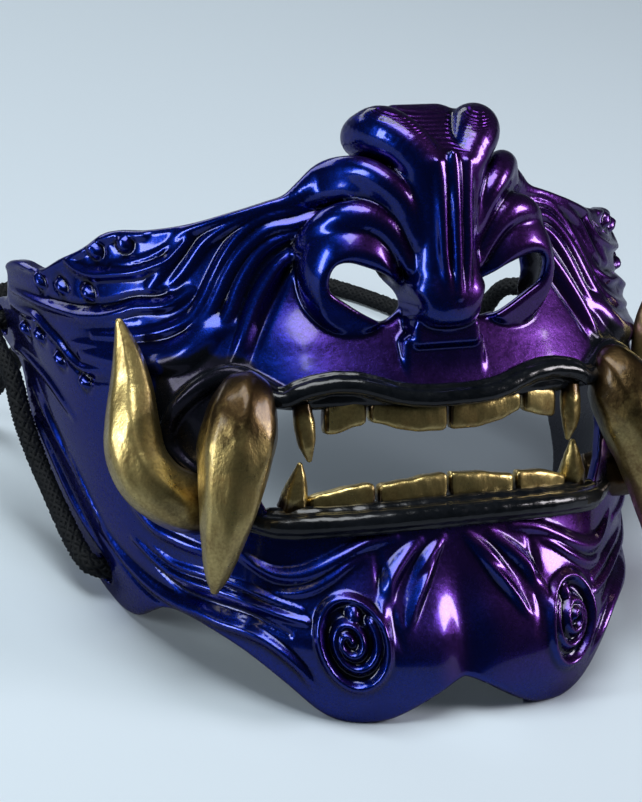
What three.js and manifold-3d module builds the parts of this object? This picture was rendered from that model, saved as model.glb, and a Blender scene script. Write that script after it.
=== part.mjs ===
// Oni half mask: a hollow face plate for nose, cheeks, mouth and chin, with gold teeth and tusks,
// black lips and one black cord. Millimetres, +Z up, the face looks along -Y, left and right alike.
// The mask's own frame has its origin in the open mouth; the whole mask leans back so that it
// stands on the two lobes of its chin and on its two jaw corners.
import * as THREE from 'three';
import { mergeVertices } from 'three/addons/utils/BufferGeometryUtils.js';
import Module from 'manifold-3d';

const wasm = await Module();
wasm.setup();

// driving dimensions
const breadth = 145;         // over both ears
const wallThickness = 3.0;
const pieceGap = 0.3;        // room between two pieces
const toothThickness = 3.4;
const cordDiameter = 4.4;
const leanBack = 18.4;       // degrees the standing mask leans back
const footHeight = 53.6;     // floor to the middle of the mouth
const middleDepth = 37.4;    // shift that centres the standing mask front to back
const backEnd = 112;         // turn at the end of the ear tab

// The tables below are drawn for a mask 145 mm broad; unit makes it as broad as asked.
const unit = breadth / 145;
const wall = wallThickness / unit;
const gap = pieceGap / unit;
const toothDepth = toothThickness / unit;
const cordRadius = cordDiameter / 2 / unit;

// The bare face without relief: one row per height. half = half width, front = where the middle
// line lies, depth = how far back the curve runs until the side goes straight, power = its squareness.
const face = [
  { z: -62, half: 52.0, front: -5.0, depth: 60, power: 2.5 },
  { z: -50, half: 55.0, front: -9.0, depth: 66, power: 2.5 },
  { z: -40, half: 58.0, front: -9.0, depth: 68, power: 2.5 },
  { z: -30, half: 61.0, front: -5.0, depth: 68, power: 2.4 },
  { z: -20, half: 64.0, front: -2.0, depth: 68, power: 2.4 },
  { z: -10, half: 66.0, front: -1.0, depth: 70, power: 2.4 },
  { z: 0, half: 68.0, front: 0.0, depth: 70, power: 2.4 },
  { z: 10, half: 69.0, front: 0.5, depth: 70, power: 2.4 },
  { z: 20, half: 71.0, front: 5.0, depth: 70, power: 2.3 },
  { z: 30, half: 72.0, front: 10.0, depth: 70, power: 2.2 },
  { z: 40, half: 73.0, front: 13.0, depth: 70, power: 2.1 },
  { z: 50, half: 72.0, front: 15.0, depth: 68, power: 2.1 },
  { z: 60, half: 70.0, front: 16.0, depth: 66, power: 2.1 },
  { z: 72, half: 66.0, front: 17.0, depth: 62, power: 2.1 },
];

// Lower and upper edge of the shell. turn = degrees round the face up to 90, then millimetres back.
const lowerEdge = [
  { turn: 0, z: -49.5 }, { turn: 7, z: -54.3 }, { turn: 13, z: -57.2 }, { turn: 19, z: -58.0 },
  { turn: 24, z: -57.6 }, { turn: 30, z: -55.2 }, { turn: 38, z: -49.0 }, { turn: 47, z: -42.6 },
  { turn: 57, z: -38.2 }, { turn: 66, z: -36.8 }, { turn: 73, z: -38.8 }, { turn: 80, z: -41.3 },
  { turn: 86, z: -40.2 }, { turn: 90, z: -35.0 }, { turn: 93, z: -19.0 }, { turn: 98, z: -7.0 },
  { turn: backEnd - 10, z: 9.0 }, { turn: backEnd - 4, z: 13.0 }, { turn: backEnd, z: 16.0 },
];
const upperEdge = [
  { turn: 0, z: 66.0 }, { turn: 5, z: 66.0 }, { turn: 10, z: 60.0 }, { turn: 14, z: 54.0 },
  { turn: 18, z: 52.0 }, { turn: 24, z: 50.5 }, { turn: 31, z: 48.0 }, { turn: 40, z: 45.0 },
  { turn: 48, z: 43.5 }, { turn: 56, z: 42.8 }, { turn: 62, z: 39.0 }, { turn: 68, z: 36.5 },
  { turn: 75, z: 33.6 }, { turn: 82, z: 34.6 }, { turn: 88, z: 33.5 }, { turn: 92, z: 29.5 },
  { turn: 96, z: 25.5 }, { turn: backEnd - 8, z: 24.2 }, { turn: backEnd - 3, z: 23.0 }, { turn: backEnd, z: 21.0 },
];

// reads a column of a table at x, smooth between its rows
function look(rows, key, column, x) {
  const last = rows.length - 1;
  if (x <= rows[0][key]) return rows[0][column];
  if (x >= rows[last][key]) return rows[last][column];
  let i = 0;
  while (x > rows[i + 1][key]) i++;
  const at = (k) => rows[Math.min(last, Math.max(0, k))];
  const slope = (k) => (at(k + 1)[column] - at(k - 1)[column]) / (at(k + 1)[key] - at(k - 1)[key]);
  const step = rows[i + 1][key] - rows[i][key];
  const t = (x - rows[i][key]) / step;
  const t2 = t * t;
  const t3 = t2 * t;
  return (2 * t3 - 3 * t2 + 1) * rows[i][column] + (t3 - 2 * t2 + t) * step * slope(i)
    + (3 * t2 - 2 * t3) * rows[i + 1][column] + (t3 - t2) * step * slope(i + 1);
}

// point of the bare face at a turn and a height; out moves it along the surface normal
function facePoint(turn, z, out = 0) {
  const spot = (a, h) => {
    const b = Math.abs(a);
    const power = look(face, 'z', 'power', h);
    const angle = Math.min(b, 90) * Math.PI / 180;
    const side = Math.pow(Math.sin(angle), 2 / power);
    const ahead = Math.pow(Math.cos(angle), 2 / power);
    return new THREE.Vector3(
      Math.sign(a) * look(face, 'z', 'half', h) * side,
      look(face, 'z', 'front', h) + look(face, 'z', 'depth', h) * (1 - ahead) + Math.max(b - 90, 0),
      h,
    );
  };
  const p = spot(turn, z);
  if (out === 0) return p;
  // close to 0 and 90 degrees the curve's parameter crowds, so the tangent is taken over a wider step
  const along = spot(turn + 3, z).sub(spot(turn - 3, z));
  const up = spot(turn, z + 2).sub(spot(turn, z - 2));
  return p.addScaledVector(along.cross(up).normalize(), out);
}

function solidOf(geometry) {
  const bare = geometry.clone();
  bare.deleteAttribute('normal');
  bare.deleteAttribute('uv');
  const merged = mergeVertices(bare, 1e-4);
  return new wasm.Manifold(new wasm.Mesh({
    numProp: 3,
    vertProperties: new Float32Array(merged.attributes.position.array),
    triVerts: new Uint32Array(merged.index.array),
  }));
}

function geometryOf(solid) {
  const mesh = solid.getMesh();
  const geometry = new THREE.BufferGeometry();
  geometry.setAttribute('position', new THREE.BufferAttribute(new Float32Array(mesh.vertProperties), 3));
  geometry.setIndex(new THREE.BufferAttribute(new Uint32Array(mesh.triVerts), 1));
  return geometry;
}

function joinAll(solids) {
  return solids.reduce((sum, s) => sum.add(s));
}

// closed mesh from rings of points, capped at both ends by a fan round the ring's middle
function fromRings(rings) {
  const n = rings[0].length;
  const points = rings.flat();
  const index = [];
  for (let i = 0; i + 1 < rings.length; i++) {
    for (let j = 0; j < n; j++) {
      const k = (j + 1) % n;
      const a = i * n + j;
      const b = i * n + k;
      index.push(a, b, a + n, b, b + n, a + n);
    }
  }
  const middle = (ring) => ring.reduce((s, p) => s.add(p), new THREE.Vector3()).divideScalar(n);
  const first = points.push(middle(rings[0])) - 1;
  const last = points.push(middle(rings[rings.length - 1])) - 1;
  const base = (rings.length - 1) * n;
  for (let j = 0; j < n; j++) {
    const k = (j + 1) % n;
    index.push(first, k, j, last, base + j, base + k);
  }
  const geometry = new THREE.BufferGeometry();
  geometry.setAttribute('position', new THREE.Float32BufferAttribute(points.flatMap((p) => [p.x, p.y, p.z]), 3));
  geometry.setIndex(index);
  return geometry;
}

// turns the faces of a closed mesh outward when its volume comes out negative
function outward(geometry) {
  const p = geometry.attributes.position;
  const index = geometry.index.array;
  const a = new THREE.Vector3();
  const b = new THREE.Vector3();
  const c = new THREE.Vector3();
  let volume = 0;
  for (let i = 0; i < index.length; i += 3) {
    a.fromBufferAttribute(p, index[i]);
    b.fromBufferAttribute(p, index[i + 1]);
    c.fromBufferAttribute(p, index[i + 2]);
    volume += a.dot(b.cross(c));
  }
  if (volume < 0) {
    for (let i = 0; i < index.length; i += 3) {
      [index[i + 1], index[i + 2]] = [index[i + 2], index[i + 1]];
    }
  }
  return geometry;
}

// rod swept through stations { p, r }; grow makes it thicker all round
function sweep(stations, sides, steps, grow = 0) {
  const startSide = new THREE.Vector3(0.3, -0.8, 0.5);
  const path = new THREE.CatmullRomCurve3(stations.map((s) => s.p), false, 'centripetal');
  const radii = stations.map((s, i) => ({ t: i / (stations.length - 1), r: s.r }));
  const rings = [];
  let side = null;
  for (let i = 0; i <= steps; i++) {
    const t = i / steps;
    const middle = path.getPoint(t);
    const ahead = path.getTangent(t);
    if (!side) {
      side = startSide.cross(ahead).normalize();
    }
    side = side.clone().addScaledVector(ahead, -side.dot(ahead)).normalize();
    const other = ahead.clone().cross(side);
    const r = look(radii, 't', 'r', t) + grow;
    const ring = [];
    for (let j = 0; j < sides; j++) {
      const a = 2 * Math.PI * j / sides;
      ring.push(middle.clone().addScaledVector(side, r * Math.cos(a)).addScaledVector(other, r * Math.sin(a)));
    }
    rings.push(ring);
  }
  return outward(fromRings(rings));
}

function ball(p, rx, ry, rz, wide = 12, high = 8) {
  const g = new THREE.SphereGeometry(1, wide, high);
  g.scale(rx, ry, rz);
  g.translate(p.x, p.y, p.z);
  return solidOf(g);
}

const mirrored = (v) => new THREE.Vector3(-v.x, v.y, v.z);
const v3 = (x, y, z) => new THREE.Vector3(x, y, z);

// bare shell: outer and inner skin with the rim between them
const outerSkin = { columns: 38, rows: 7 };
const innerSkin = { columns: 18, rows: 4 };

function skin(columns, rows, out) {
  const grid = [];
  for (let i = 0; i <= columns; i++) {
    const s = -1 + 2 * i / columns;
    const turn = backEnd * s;
    const low = look(lowerEdge, 'turn', 'z', Math.abs(turn));
    const high = look(upperEdge, 'turn', 'z', Math.abs(turn));
    const line = [];
    for (let j = 0; j <= rows; j++) {
      line.push(facePoint(turn, low + (high - low) * j / rows, out));
    }
    grid.push(line);
  }
  return grid;
}

function shellSolid() {
  const outer = skin(outerSkin.columns, outerSkin.rows, 0);
  const inner = skin(innerSkin.columns, innerSkin.rows, -wall);
  const points = [];
  const index = [];
  const lay = (grid, flip) => {
    const start = points.length;
    const high = grid[0].length;
    grid.forEach((line) => line.forEach((p) => points.push(p)));
    for (let i = 0; i + 1 < grid.length; i++) {
      for (let j = 0; j + 1 < high; j++) {
        const a = start + i * high + j;
        const b = a + high;
        const quad = flip ? [a, a + 1, b, b, a + 1, b + 1] : [a, b, a + 1, b, b + 1, a + 1];
        index.push(...quad);
      }
    }
    const at = (i, j) => start + i * high + j;
    const n = grid.length - 1;
    const m = high - 1;
    const loop = [];
    for (let i = 0; i < n; i++) loop.push({ id: at(i, 0), t: i / n });
    for (let j = 0; j < m; j++) loop.push({ id: at(n, j), t: 1 + j / m });
    for (let i = n; i > 0; i--) loop.push({ id: at(i, m), t: 2 + (n - i) / n });
    for (let j = m; j > 0; j--) loop.push({ id: at(0, j), t: 3 + (m - j) / m });
    return loop;
  };
  const rim = lay(outer, false);
  const back = lay(inner, true);
  // the rim joins the two loops, one triangle at a time
  let i = 0;
  let j = 0;
  while (i < rim.length || j < back.length) {
    const a = rim[i % rim.length].id;
    const b = back[j % back.length].id;
    const nextA = i < rim.length ? (i + 1 < rim.length ? rim[i + 1].t : 4) : 9;
    const nextB = j < back.length ? (j + 1 < back.length ? back[j + 1].t : 4) : 9;
    if (nextA <= nextB) {
      index.push(a, b, rim[(i + 1) % rim.length].id);
      i++;
    } else {
      index.push(a, b, back[(j + 1) % back.length].id);
      j++;
    }
  }
  const geometry = new THREE.BufferGeometry();
  geometry.setAttribute('position', new THREE.Float32BufferAttribute(points.flatMap((p) => [p.x, p.y, p.z]), 3));
  geometry.setIndex(index);
  return solidOf(outward(geometry));
}


// relief of the face: each row of a table is one station { turn, z, out, r }
const reliefSides = 4;
const rod = (rows) => sweep(rows.map((s) => ({ p: facePoint(s.turn, s.z, s.out), r: s.r })), reliefSides, Math.max(4, rows.length - 3));

// hair-like strands that run from the nose over the cheek and back
const strands = [
  [{ turn: 15, z: 51.2, out: 0.2, r: 1.4 }, { turn: 22, z: 50.0, out: 0.3, r: 1.8 }, { turn: 31, z: 46.8, out: 0.3, r: 2.0 },
    { turn: 37, z: 43.0, out: 0.2, r: 1.7 }, { turn: 42, z: 37.0, out: 0, r: 1.0 }],
  [{ turn: 15, z: 47.6, out: 0.2, r: 1.3 }, { turn: 21, z: 45.6, out: 0.4, r: 1.9 }, { turn: 28, z: 42.2, out: 0.4, r: 2.1 },
    { turn: 33, z: 35.5, out: 0.4, r: 2.0 }, { turn: 37.5, z: 28.0, out: 0.3, r: 2.0 }, { turn: 44, z: 22.5, out: 0.3, r: 1.8 },
    { turn: 54, z: 21.0, out: 0.2, r: 1.5 }, { turn: 66, z: 20.4, out: 0, r: 1.0 }],
  [{ turn: 18, z: 41.4, out: 0.2, r: 1.2 }, { turn: 23, z: 38.2, out: 0.4, r: 1.7 }, { turn: 27.5, z: 31.5, out: 0.5, r: 1.9 },
    { turn: 30.5, z: 25.0, out: 0.4, r: 1.8 }, { turn: 34.5, z: 18.8, out: 0.2, r: 1.2 }],
  [{ turn: 34, z: 24.0, out: 0, r: 1.4 }, { turn: 39, z: 21.0, out: 0.3, r: 2.4 }, { turn: 47, z: 17.6, out: 0.3, r: 2.2 },
    { turn: 58, z: 16.4, out: 0.2, r: 2.0 }, { turn: 68, z: 16.2, out: 0, r: 1.2 }],
];
// edges of the studded bands on the cheek
const bandEdges = [
  [{ turn: 37, z: 45.6, out: 0, r: 0.9 }, { turn: 41, z: 40.4, out: 0.3, r: 1.2 }, { turn: 47, z: 36.2, out: 0.4, r: 1.3 },
    { turn: 55, z: 34.2, out: 0.4, r: 1.3 }, { turn: 61, z: 34.0, out: 0.3, r: 1.2 }, { turn: 66.5, z: 36.4, out: 0, r: 0.8 }],
  [{ turn: 43, z: 29.3, out: 0, r: 0.9 }, { turn: 51, z: 27.8, out: 0.3, r: 1.2 }, { turn: 61, z: 25.2, out: 0.4, r: 1.3 },
    { turn: 70, z: 25.2, out: 0.4, r: 1.3 }, { turn: 80, z: 26.4, out: 0.3, r: 1.2 }, { turn: 88, z: 28.0, out: 0, r: 0.8 }],
  [{ turn: 65, z: 14.0, out: 0, r: 0.8 }, { turn: 71.5, z: 14.6, out: 0.2, r: 1.1 }, { turn: 75, z: 18.6, out: 0.2, r: 1.2 },
    { turn: 80, z: 22.4, out: 0.2, r: 1.2 }, { turn: 88, z: 23.8, out: 0, r: 0.9 }],
];
// ridges of the jaw, from its back corner to the curl on the chin
const jawRidges = [
  [{ turn: 75, z: -25.5, out: 0, r: 1.1 }, { turn: 67, z: -32.0, out: 0.3, r: 1.5 }, { turn: 56, z: -35.4, out: 0.3, r: 1.6 },
    { turn: 44, z: -38.4, out: 0.3, r: 1.6 }, { turn: 35, z: -43.6, out: 0.2, r: 1.3 }, { turn: 30, z: -48.0, out: 0, r: 0.9 }],
  [{ turn: 67, z: -21.5, out: 0, r: 1.1 }, { turn: 60, z: -27.6, out: 0.3, r: 1.5 }, { turn: 49, z: -30.6, out: 0.3, r: 1.6 },
    { turn: 39, z: -33.2, out: 0.3, r: 1.5 }, { turn: 30.5, z: -36.0, out: 0, r: 1.0 }],
  [{ turn: 44, z: -24.0, out: 0, r: 1.0 }, { turn: 37, z: -27.5, out: 0.3, r: 1.6 }, { turn: 31, z: -29.0, out: 0.4, r: 1.7 },
    { turn: 24, z: -26.5, out: 0.4, r: 1.6 }, { turn: 18, z: -22.8, out: 0.3, r: 1.4 }, { turn: 9, z: -20.5, out: 0, r: 1.0 }],
];
const studs = [
  { turn: 58.5, z: 38.7 }, { turn: 52, z: 40.3 },
  { turn: 76, z: 30.6 }, { turn: 69.5, z: 30.3 }, { turn: 62.5, z: 29.8 },
  { turn: 88, z: 19.6 }, { turn: 82.5, z: 18.6 }, { turn: 78, z: 14.2 }, { turn: 71.5, z: 10.8 },
];
const stud = { radius: 1.8, sunk: 0.3, sides: 4, bands: 4 };
const curlMiddle = { turn: 20.5, z: -40.0, wide: 8.2, high: 9.4, ringRadius: 1.1 };
const spiral = { from: 6.6, to: 1.2, start: 1.2, halfTurns: 3.6, drift: 1.6, radius: 1.15, taper: 0.3 };

function curlPoint(u, w, out) {
  const turnPerMm = 1.2;
  return facePoint(curlMiddle.turn + u * turnPerMm, curlMiddle.z + w, out);
}

function curlRing() {
  const stations = [];
  const count = 12;
  for (let i = 0; i <= count; i++) {
    const a = 2 * Math.PI * 0.94 * i / count + 0.2;
    stations.push({ p: curlPoint(curlMiddle.wide * Math.cos(a), curlMiddle.high * Math.sin(a), 0.3), r: curlMiddle.ringRadius });
  }
  return sweep(stations, reliefSides, count);
}

function curlSpiral() {
  const stations = [];
  const count = 13;
  for (let i = 0; i <= count; i++) {
    const s = i / count;
    const a = spiral.start + s * spiral.halfTurns * Math.PI;
    const far = spiral.from + (spiral.to - spiral.from) * s;
    stations.push({
      p: curlPoint(spiral.drift * s + far * Math.cos(a), 0.4 + 1.05 * far * Math.sin(a), 0.2),
      r: spiral.radius - spiral.taper * s,
    });
  }
  return sweep(stations, reliefSides, count);
}

// one row per height: half width, front and how square the section is; the back lies inside the shell
const noseRows = [
  { z: 23.5, half: 4.5, front: 1.5 }, { z: 25.0, half: 7.0, front: -1.6 }, { z: 28.0, half: 8.2, front: -3.0 },
  { z: 34.0, half: 8.4, front: -3.0 }, { z: 42.0, half: 7.8, front: -2.4 }, { z: 50.0, half: 9.0, front: -2.0 },
  { z: 57.0, half: 10.8, front: -1.6 }, { z: 60.0, half: 11.4, front: -0.2 }, { z: 64.0, half: 11.2, front: 6.5 },
  { z: 67.5, half: 9.5, front: 12.0 }, { z: 69.5, half: 6.5, front: 15.5 },
];

const noseBack = { solid: 18.5, hollow: 26 };

function noseBlock(inset) {
  const rows = inset > 0 ? noseRows.filter((s, i) => i % 2 === 0) : noseRows;
  const rings = rows.map((s) => {
    const half = Math.max(1.2, s.half - inset);
    const front = s.front + inset;
    const back = inset > 0 ? noseBack.hollow : noseBack.solid;
    const squareness = 0.7;
    const parts = inset > 0 ? 4 : 6;
    const ring = [];
    for (let k = 0; k <= parts; k++) {
      const a = Math.PI * k / parts;
      const c = Math.cos(a);
      ring.push(v3(
        half * Math.sign(c) * Math.pow(Math.abs(c), squareness),
        front + (back - front) * (1 - Math.pow(Math.sin(a), squareness)),
        s.z,
      ));
    }
    return ring;
  });
  return solidOf(outward(fromRings(rings)));
}

// lobes beside the nose, from the knob on its top down to the roll over the nostril
const lobeRows = [
  [{ p: v3(4.3, 3.0, 58.4), r: 4.0 }, { p: v3(7.9, 6.5, 62.0), r: 5.4 }, { p: v3(10.6, 12, 63.8), r: 5.8 }, { p: v3(11.4, 19, 62.4), r: 4.8 }],
  [{ p: v3(6.1, 2.4, 43.8), r: 1.4 }, { p: v3(9.2, 3.2, 49.8), r: 2.4 }, { p: v3(13.2, 5.4, 54.4), r: 3.1 },
    { p: v3(17.2, 11, 56.0), r: 3.4 }, { p: v3(20.4, 18, 54.4), r: 3.4 }],
  [{ p: v3(6.9, 3.0, 41.4), r: 1.2 }, { p: v3(9.9, 4.6, 47.3), r: 2.0 }, { p: v3(14.3, 7.2, 51.3), r: 2.4 },
    { p: v3(19.2, 12, 52.2), r: 2.5 }, { p: v3(22.9, 19, 50.6), r: 2.3 }],
  [{ p: v3(8.3, 4.2, 37.0), r: 1.8 }, { p: v3(12.9, 6.0, 44.4), r: 3.4 }, { p: v3(18.0, 8.0, 46.2), r: 4.2 },
    { p: v3(23.0, 12.2, 43.6), r: 4.2 }, { p: v3(25.0, 18.6, 36.4), r: 3.6 }],
];
const bridgeRidges = [
  [{ p: v3(0, -1.2, 60), r: 0.9 }, { p: v3(0, -2.6, 50), r: 1.1 }, { p: v3(0.2, -3.4, 40), r: 1.1 }, { p: v3(0.2, -3.6, 30), r: 0.9 }],
  [{ p: v3(3.4, -1.0, 58), r: 0.8 }, { p: v3(2.8, -2.2, 49), r: 1.0 }, { p: v3(2.4, -2.9, 39), r: 1.0 }, { p: v3(1.4, -3.2, 30.5), r: 0.8 }],
];
// flat face round each nostril: what lies in front of this plane is cut off the wing
const wingFace = { x: 18.0, y: 4.0, z: 33.0, ax: 0.18, ay: -0.94, az: -0.29 };
const wing = { x: 18.0, y: 11.5, z: 35.0, rx: 11.2, ry: 10.4, rz: 13.6 };
const nostril = [
  { x: 24.4, z: 35.0 }, { x: 23.4, z: 37.3 }, { x: 20.8, z: 37.9 }, { x: 17.4, z: 37.0 }, { x: 12.4, z: 34.9 },
  { x: 9.0, z: 31.0 }, { x: 8.2, z: 27.6 }, { x: 9.8, z: 25.5 }, { x: 12.2, z: 25.0 }, { x: 16.0, z: 26.5 }, { x: 21.0, z: 29.5 }, { x: 24.0, z: 32.2 },
];
const mouthShape = [
  { x: 0, z: 9.6 }, { x: 6, z: 9.8 }, { x: 11, z: 10.5 }, { x: 16, z: 11.6 }, { x: 22, z: 12.3 }, { x: 28, z: 12.0 }, { x: 33, z: 10.8 },
  { x: 37, z: 9.4 }, { x: 40.5, z: 5.5 }, { x: 41.2, z: -2 }, { x: 40.5, z: -9 }, { x: 38.5, z: -13.4 }, { x: 32, z: -15.6 },
  { x: 16, z: -15.0 }, { x: 0, z: -14.4 },
];

// prism along y from a closed outline in x and z
function prism(outline, from, to) {
  const shape = new THREE.Shape(outline.map((s) => new THREE.Vector2(s.x, s.z)));
  const g = new THREE.ExtrudeGeometry(shape, { depth: to - from, bevelEnabled: false, steps: 1 });
  g.rotateX(Math.PI / 2);
  g.translate(0, to, 0);
  return solidOf(g);
}

function bothSides(geometry) {
  const other = geometry.clone();
  other.scale(-1, 1, 1);
  return [solidOf(geometry), solidOf(outward(other))];
}

// lips: the rim of the mouth and the gum behind it
const upperRim = [
  { turn: -34, z: 14.6, out: 0.2, r: 0.9 }, { turn: -30, z: 11.2, out: 0.9, r: 1.5 }, { turn: -26.5, z: 9.9, out: 1.3, r: 1.9 },
  { turn: -22, z: 11.7, out: 1.5, r: 2.0 }, { turn: -16.5, z: 12.5, out: 1.6, r: 2.0 }, { turn: -11, z: 11.5, out: 1.6, r: 2.0 },
  { turn: -6, z: 9.8, out: 1.6, r: 2.0 }, { turn: 0, z: 9.2, out: 1.6, r: 2.0 }, { turn: 6, z: 9.8, out: 1.6, r: 2.0 },
  { turn: 11, z: 11.5, out: 1.6, r: 2.0 }, { turn: 16.5, z: 12.5, out: 1.6, r: 2.0 }, { turn: 22, z: 11.7, out: 1.5, r: 2.0 },
  { turn: 26.5, z: 9.9, out: 1.3, r: 1.9 }, { turn: 30, z: 11.2, out: 0.9, r: 1.5 }, { turn: 34, z: 14.6, out: 0.2, r: 0.9 },
];
const upperGum = [
  { turn: -33, z: 10.2, out: -1.6, r: 1.7 }, { turn: -24, z: 10.0, out: -1.6, r: 2.0 }, { turn: -12, z: 10.2, out: -1.6, r: 2.0 },
  { turn: 0, z: 9.2, out: -1.6, r: 2.0 }, { turn: 12, z: 10.2, out: -1.6, r: 2.0 }, { turn: 24, z: 10.0, out: -1.6, r: 2.0 },
  { turn: 33, z: 10.2, out: -1.6, r: 1.7 },
];
const lowerRim = [
  { turn: -37, z: -15.0, out: 0.4, r: 1.2 }, { turn: -30, z: -16.2, out: 1.2, r: 2.0 }, { turn: -20, z: -15.8, out: 1.6, r: 2.2 },
  { turn: -10, z: -15.4, out: 1.6, r: 2.2 }, { turn: 0, z: -15.2, out: 1.6, r: 2.2 }, { turn: 10, z: -15.4, out: 1.6, r: 2.2 },
  { turn: 20, z: -15.8, out: 1.6, r: 2.2 }, { turn: 30, z: -16.2, out: 1.2, r: 2.0 }, { turn: 37, z: -15.0, out: 0.4, r: 1.2 },
];
const lowerGum = [
  { turn: -32, z: -14.4, out: -1.6, r: 1.7 }, { turn: -20, z: -14.2, out: -1.6, r: 2.0 }, { turn: 0, z: -13.6, out: -1.6, r: 2.0 },
  { turn: 20, z: -14.2, out: -1.6, r: 2.0 }, { turn: 32, z: -14.4, out: -1.6, r: 1.7 },
];
const lipSides = 5;
const lipRod = (rows, grow) => solidOf(sweep(rows.map((s) => ({ p: facePoint(s.turn, s.z, s.out), r: s.r })), lipSides, rows.length - 2, grow));
const lipSolid = (rim, gum, grow) => lipRod(rim, grow).add(lipRod(gum, grow));

// front of the tooth arch at x
const archY = (x) => 70 * (1 - Math.pow(1 - Math.pow(Math.abs(x) / 68, 2.4), 1 / 2.4));

// one broad tooth: stations { x, root, edge } across it; grow makes it larger on every side
function broadTooth(rows, thick, grow = 0) {
  const round = (t) => Math.sign(t) * Math.pow(Math.abs(t), 0.55);
  const rings = rows.map((s, i) => {
    const first = i === 0;
    const last = i === rows.length - 1;
    const end = first || last ? 0.8 : 1;
    const x = s.x + (first ? -grow : 0) + (last ? grow : 0);
    const y = archY(s.x) + 0.4 + thick / 2;
    const halfThick = end * thick / 2 + grow;
    const halfHigh = end * Math.abs(s.root - s.edge) / 2 + grow;
    const ring = [];
    for (let k = 0; k < 8; k++) {
      const a = Math.PI * (0.25 + k / 4) - 0.4;
      ring.push(v3(x, y + halfThick * round(Math.cos(a)), (s.root + s.edge) / 2 + halfHigh * round(Math.sin(a))));
    }
    return ring;
  });
  return solidOf(outward(fromRings(rings)));
}
const toothRows = {
  upper_incisor: [{ x: 0.3, root: 8.4, edge: 2.2 }, { x: 4, root: 8.2, edge: 1.9 }, { x: 9, root: 8.0, edge: 2.4 }, { x: 14, root: 8.6, edge: 3.8 }, { x: 17.6, root: 9.0, edge: 4.6 }],
  upper_side_tooth: [{ x: 18.4, root: 9.4, edge: 4.4 }, { x: 22, root: 9.6, edge: 3.4 }, { x: 25, root: 9.0, edge: 2.6 }, { x: 27.0, root: 8.6, edge: 2.3 }],
  lower_incisor: [{ x: 0.3, root: -12.6, edge: -7.0 }, { x: 6, root: -12.6, edge: -7.4 }, { x: 12, root: -12.8, edge: -8.2 }, { x: 15.8, root: -13.0, edge: -8.6 }],
  lower_side_tooth: [{ x: 16.6, root: -13.2, edge: -8.2 }, { x: 22, root: -13.4, edge: -8.6 }, { x: 27, root: -13.6, edge: -9.8 }, { x: 30.2, root: -13.6, edge: -10.8 }],
};
const fangRows = {
  upper_canine: [{ p: v3(29.7, 5.6, 9.0), r: 1.9 }, { p: v3(30.4, 4.8, 5.0), r: 2.2 }, { p: v3(30.8, 4.5, 1.0), r: 1.8 }, { p: v3(30.7, 4.7, -2.4), r: 0.7 }],
  lower_canine: [{ p: v3(34.0, 8.4, -13.2), r: 2.9 }, { p: v3(33.3, 7.2, -10.0), r: 2.7 }, { p: v3(32.6, 6.2, -6.6), r: 1.8 }, { p: v3(32.2, 5.8, -3.8), r: 0.7 }],
  upper_tusk: [{ p: v3(42.6, 8.6, 11.2), r: 5.8 }, { p: v3(44.6, 6.2, 7.0), r: 7.6 }, { p: v3(46.6, 4.6, 1.2), r: 8.0 },
    { p: v3(48.3, 3.2, -5.6), r: 7.1 }, { p: v3(49.7, 2.4, -12.6), r: 5.8 }, { p: v3(50.9, 2.6, -19.4), r: 4.2 },
    { p: v3(51.6, 3.6, -24.8), r: 2.6 }, { p: v3(51.8, 4.5, -28.0), r: 1.1 }],
  lower_tusk: [{ p: v3(41.0, 17.5, -13.6), r: 4.4 }, { p: v3(46.0, 16.4, -13.4), r: 5.7 }, { p: v3(53.2, 16.2, -11.8), r: 6.4 },
    { p: v3(59.6, 17.4, -7.8), r: 6.5 }, { p: v3(62.8, 19.8, -2.0), r: 6.3 }, { p: v3(62.9, 22.4, 5.2), r: 5.8 },
    { p: v3(62.3, 24.6, 12.6), r: 4.4 }, { p: v3(62.6, 26.0, 19.2), r: 3.0 }, { p: v3(63.8, 26.8, 25.8), r: 0.9 }],
};
const fang = (name, side, grow = 0) => {
  const rows = fangRows[name].map((s) => ({ p: side < 0 ? mirrored(s.p) : s.p, r: s.r }));
  const tusk = name.endsWith('tusk');
  return solidOf(sweep(rows, tusk ? 9 : 6, tusk ? 10 : 5, grow));
};

const nostrilHole = prism(nostril, -12, 30);
const mouth = prism([...mouthShape, ...mouthShape.slice(1, -1).reverse().map((s) => ({ x: -s.x, z: s.z }))], -20, 26);
const mirrorX = (solid) => solid.mirror([1, 0, 0]);
const cutDepth = 30;
function beyondPlane(plane) {
  const g = new THREE.BoxGeometry(3 * cutDepth, cutDepth, 3 * cutDepth);
  const ahead = v3(plane.ax, plane.ay, plane.az).normalize();
  g.translate(0, cutDepth / 2, 0);
  g.applyQuaternion(new THREE.Quaternion().setFromUnitVectors(v3(0, 1, 0), ahead));
  g.translate(plane.x, plane.y, plane.z);
  return solidOf(g);
}
const wingBall = ball(v3(wing.x, wing.y, wing.z), wing.rx, wing.ry, wing.rz, 9, 6).subtract(beyondPlane(wingFace));
const wingHollow = ball(v3(wing.x, wing.y + 0.5, wing.z), wing.rx - wall, wing.ry - wall + 0.5, wing.rz - wall, 6, 5);
const holeRadius = 1.5 * cordRadius;
const jawHole = { turn: 84.5, z: -33.0, radius: holeRadius };
const earHole = { turn: backEnd - 6.5, z: 18.8, radius: holeRadius };
const holeLength = 16;

function holeThrough(spot) {
  const g = new THREE.CylinderGeometry(spot.radius, spot.radius, holeLength, 8, 1);
  g.rotateZ(Math.PI / 2);
  const p = facePoint(spot.turn, spot.z, -wall / 2);
  g.translate(p.x, p.y, p.z);
  return bothSides(g);
}

let shell = shellSolid();
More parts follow.
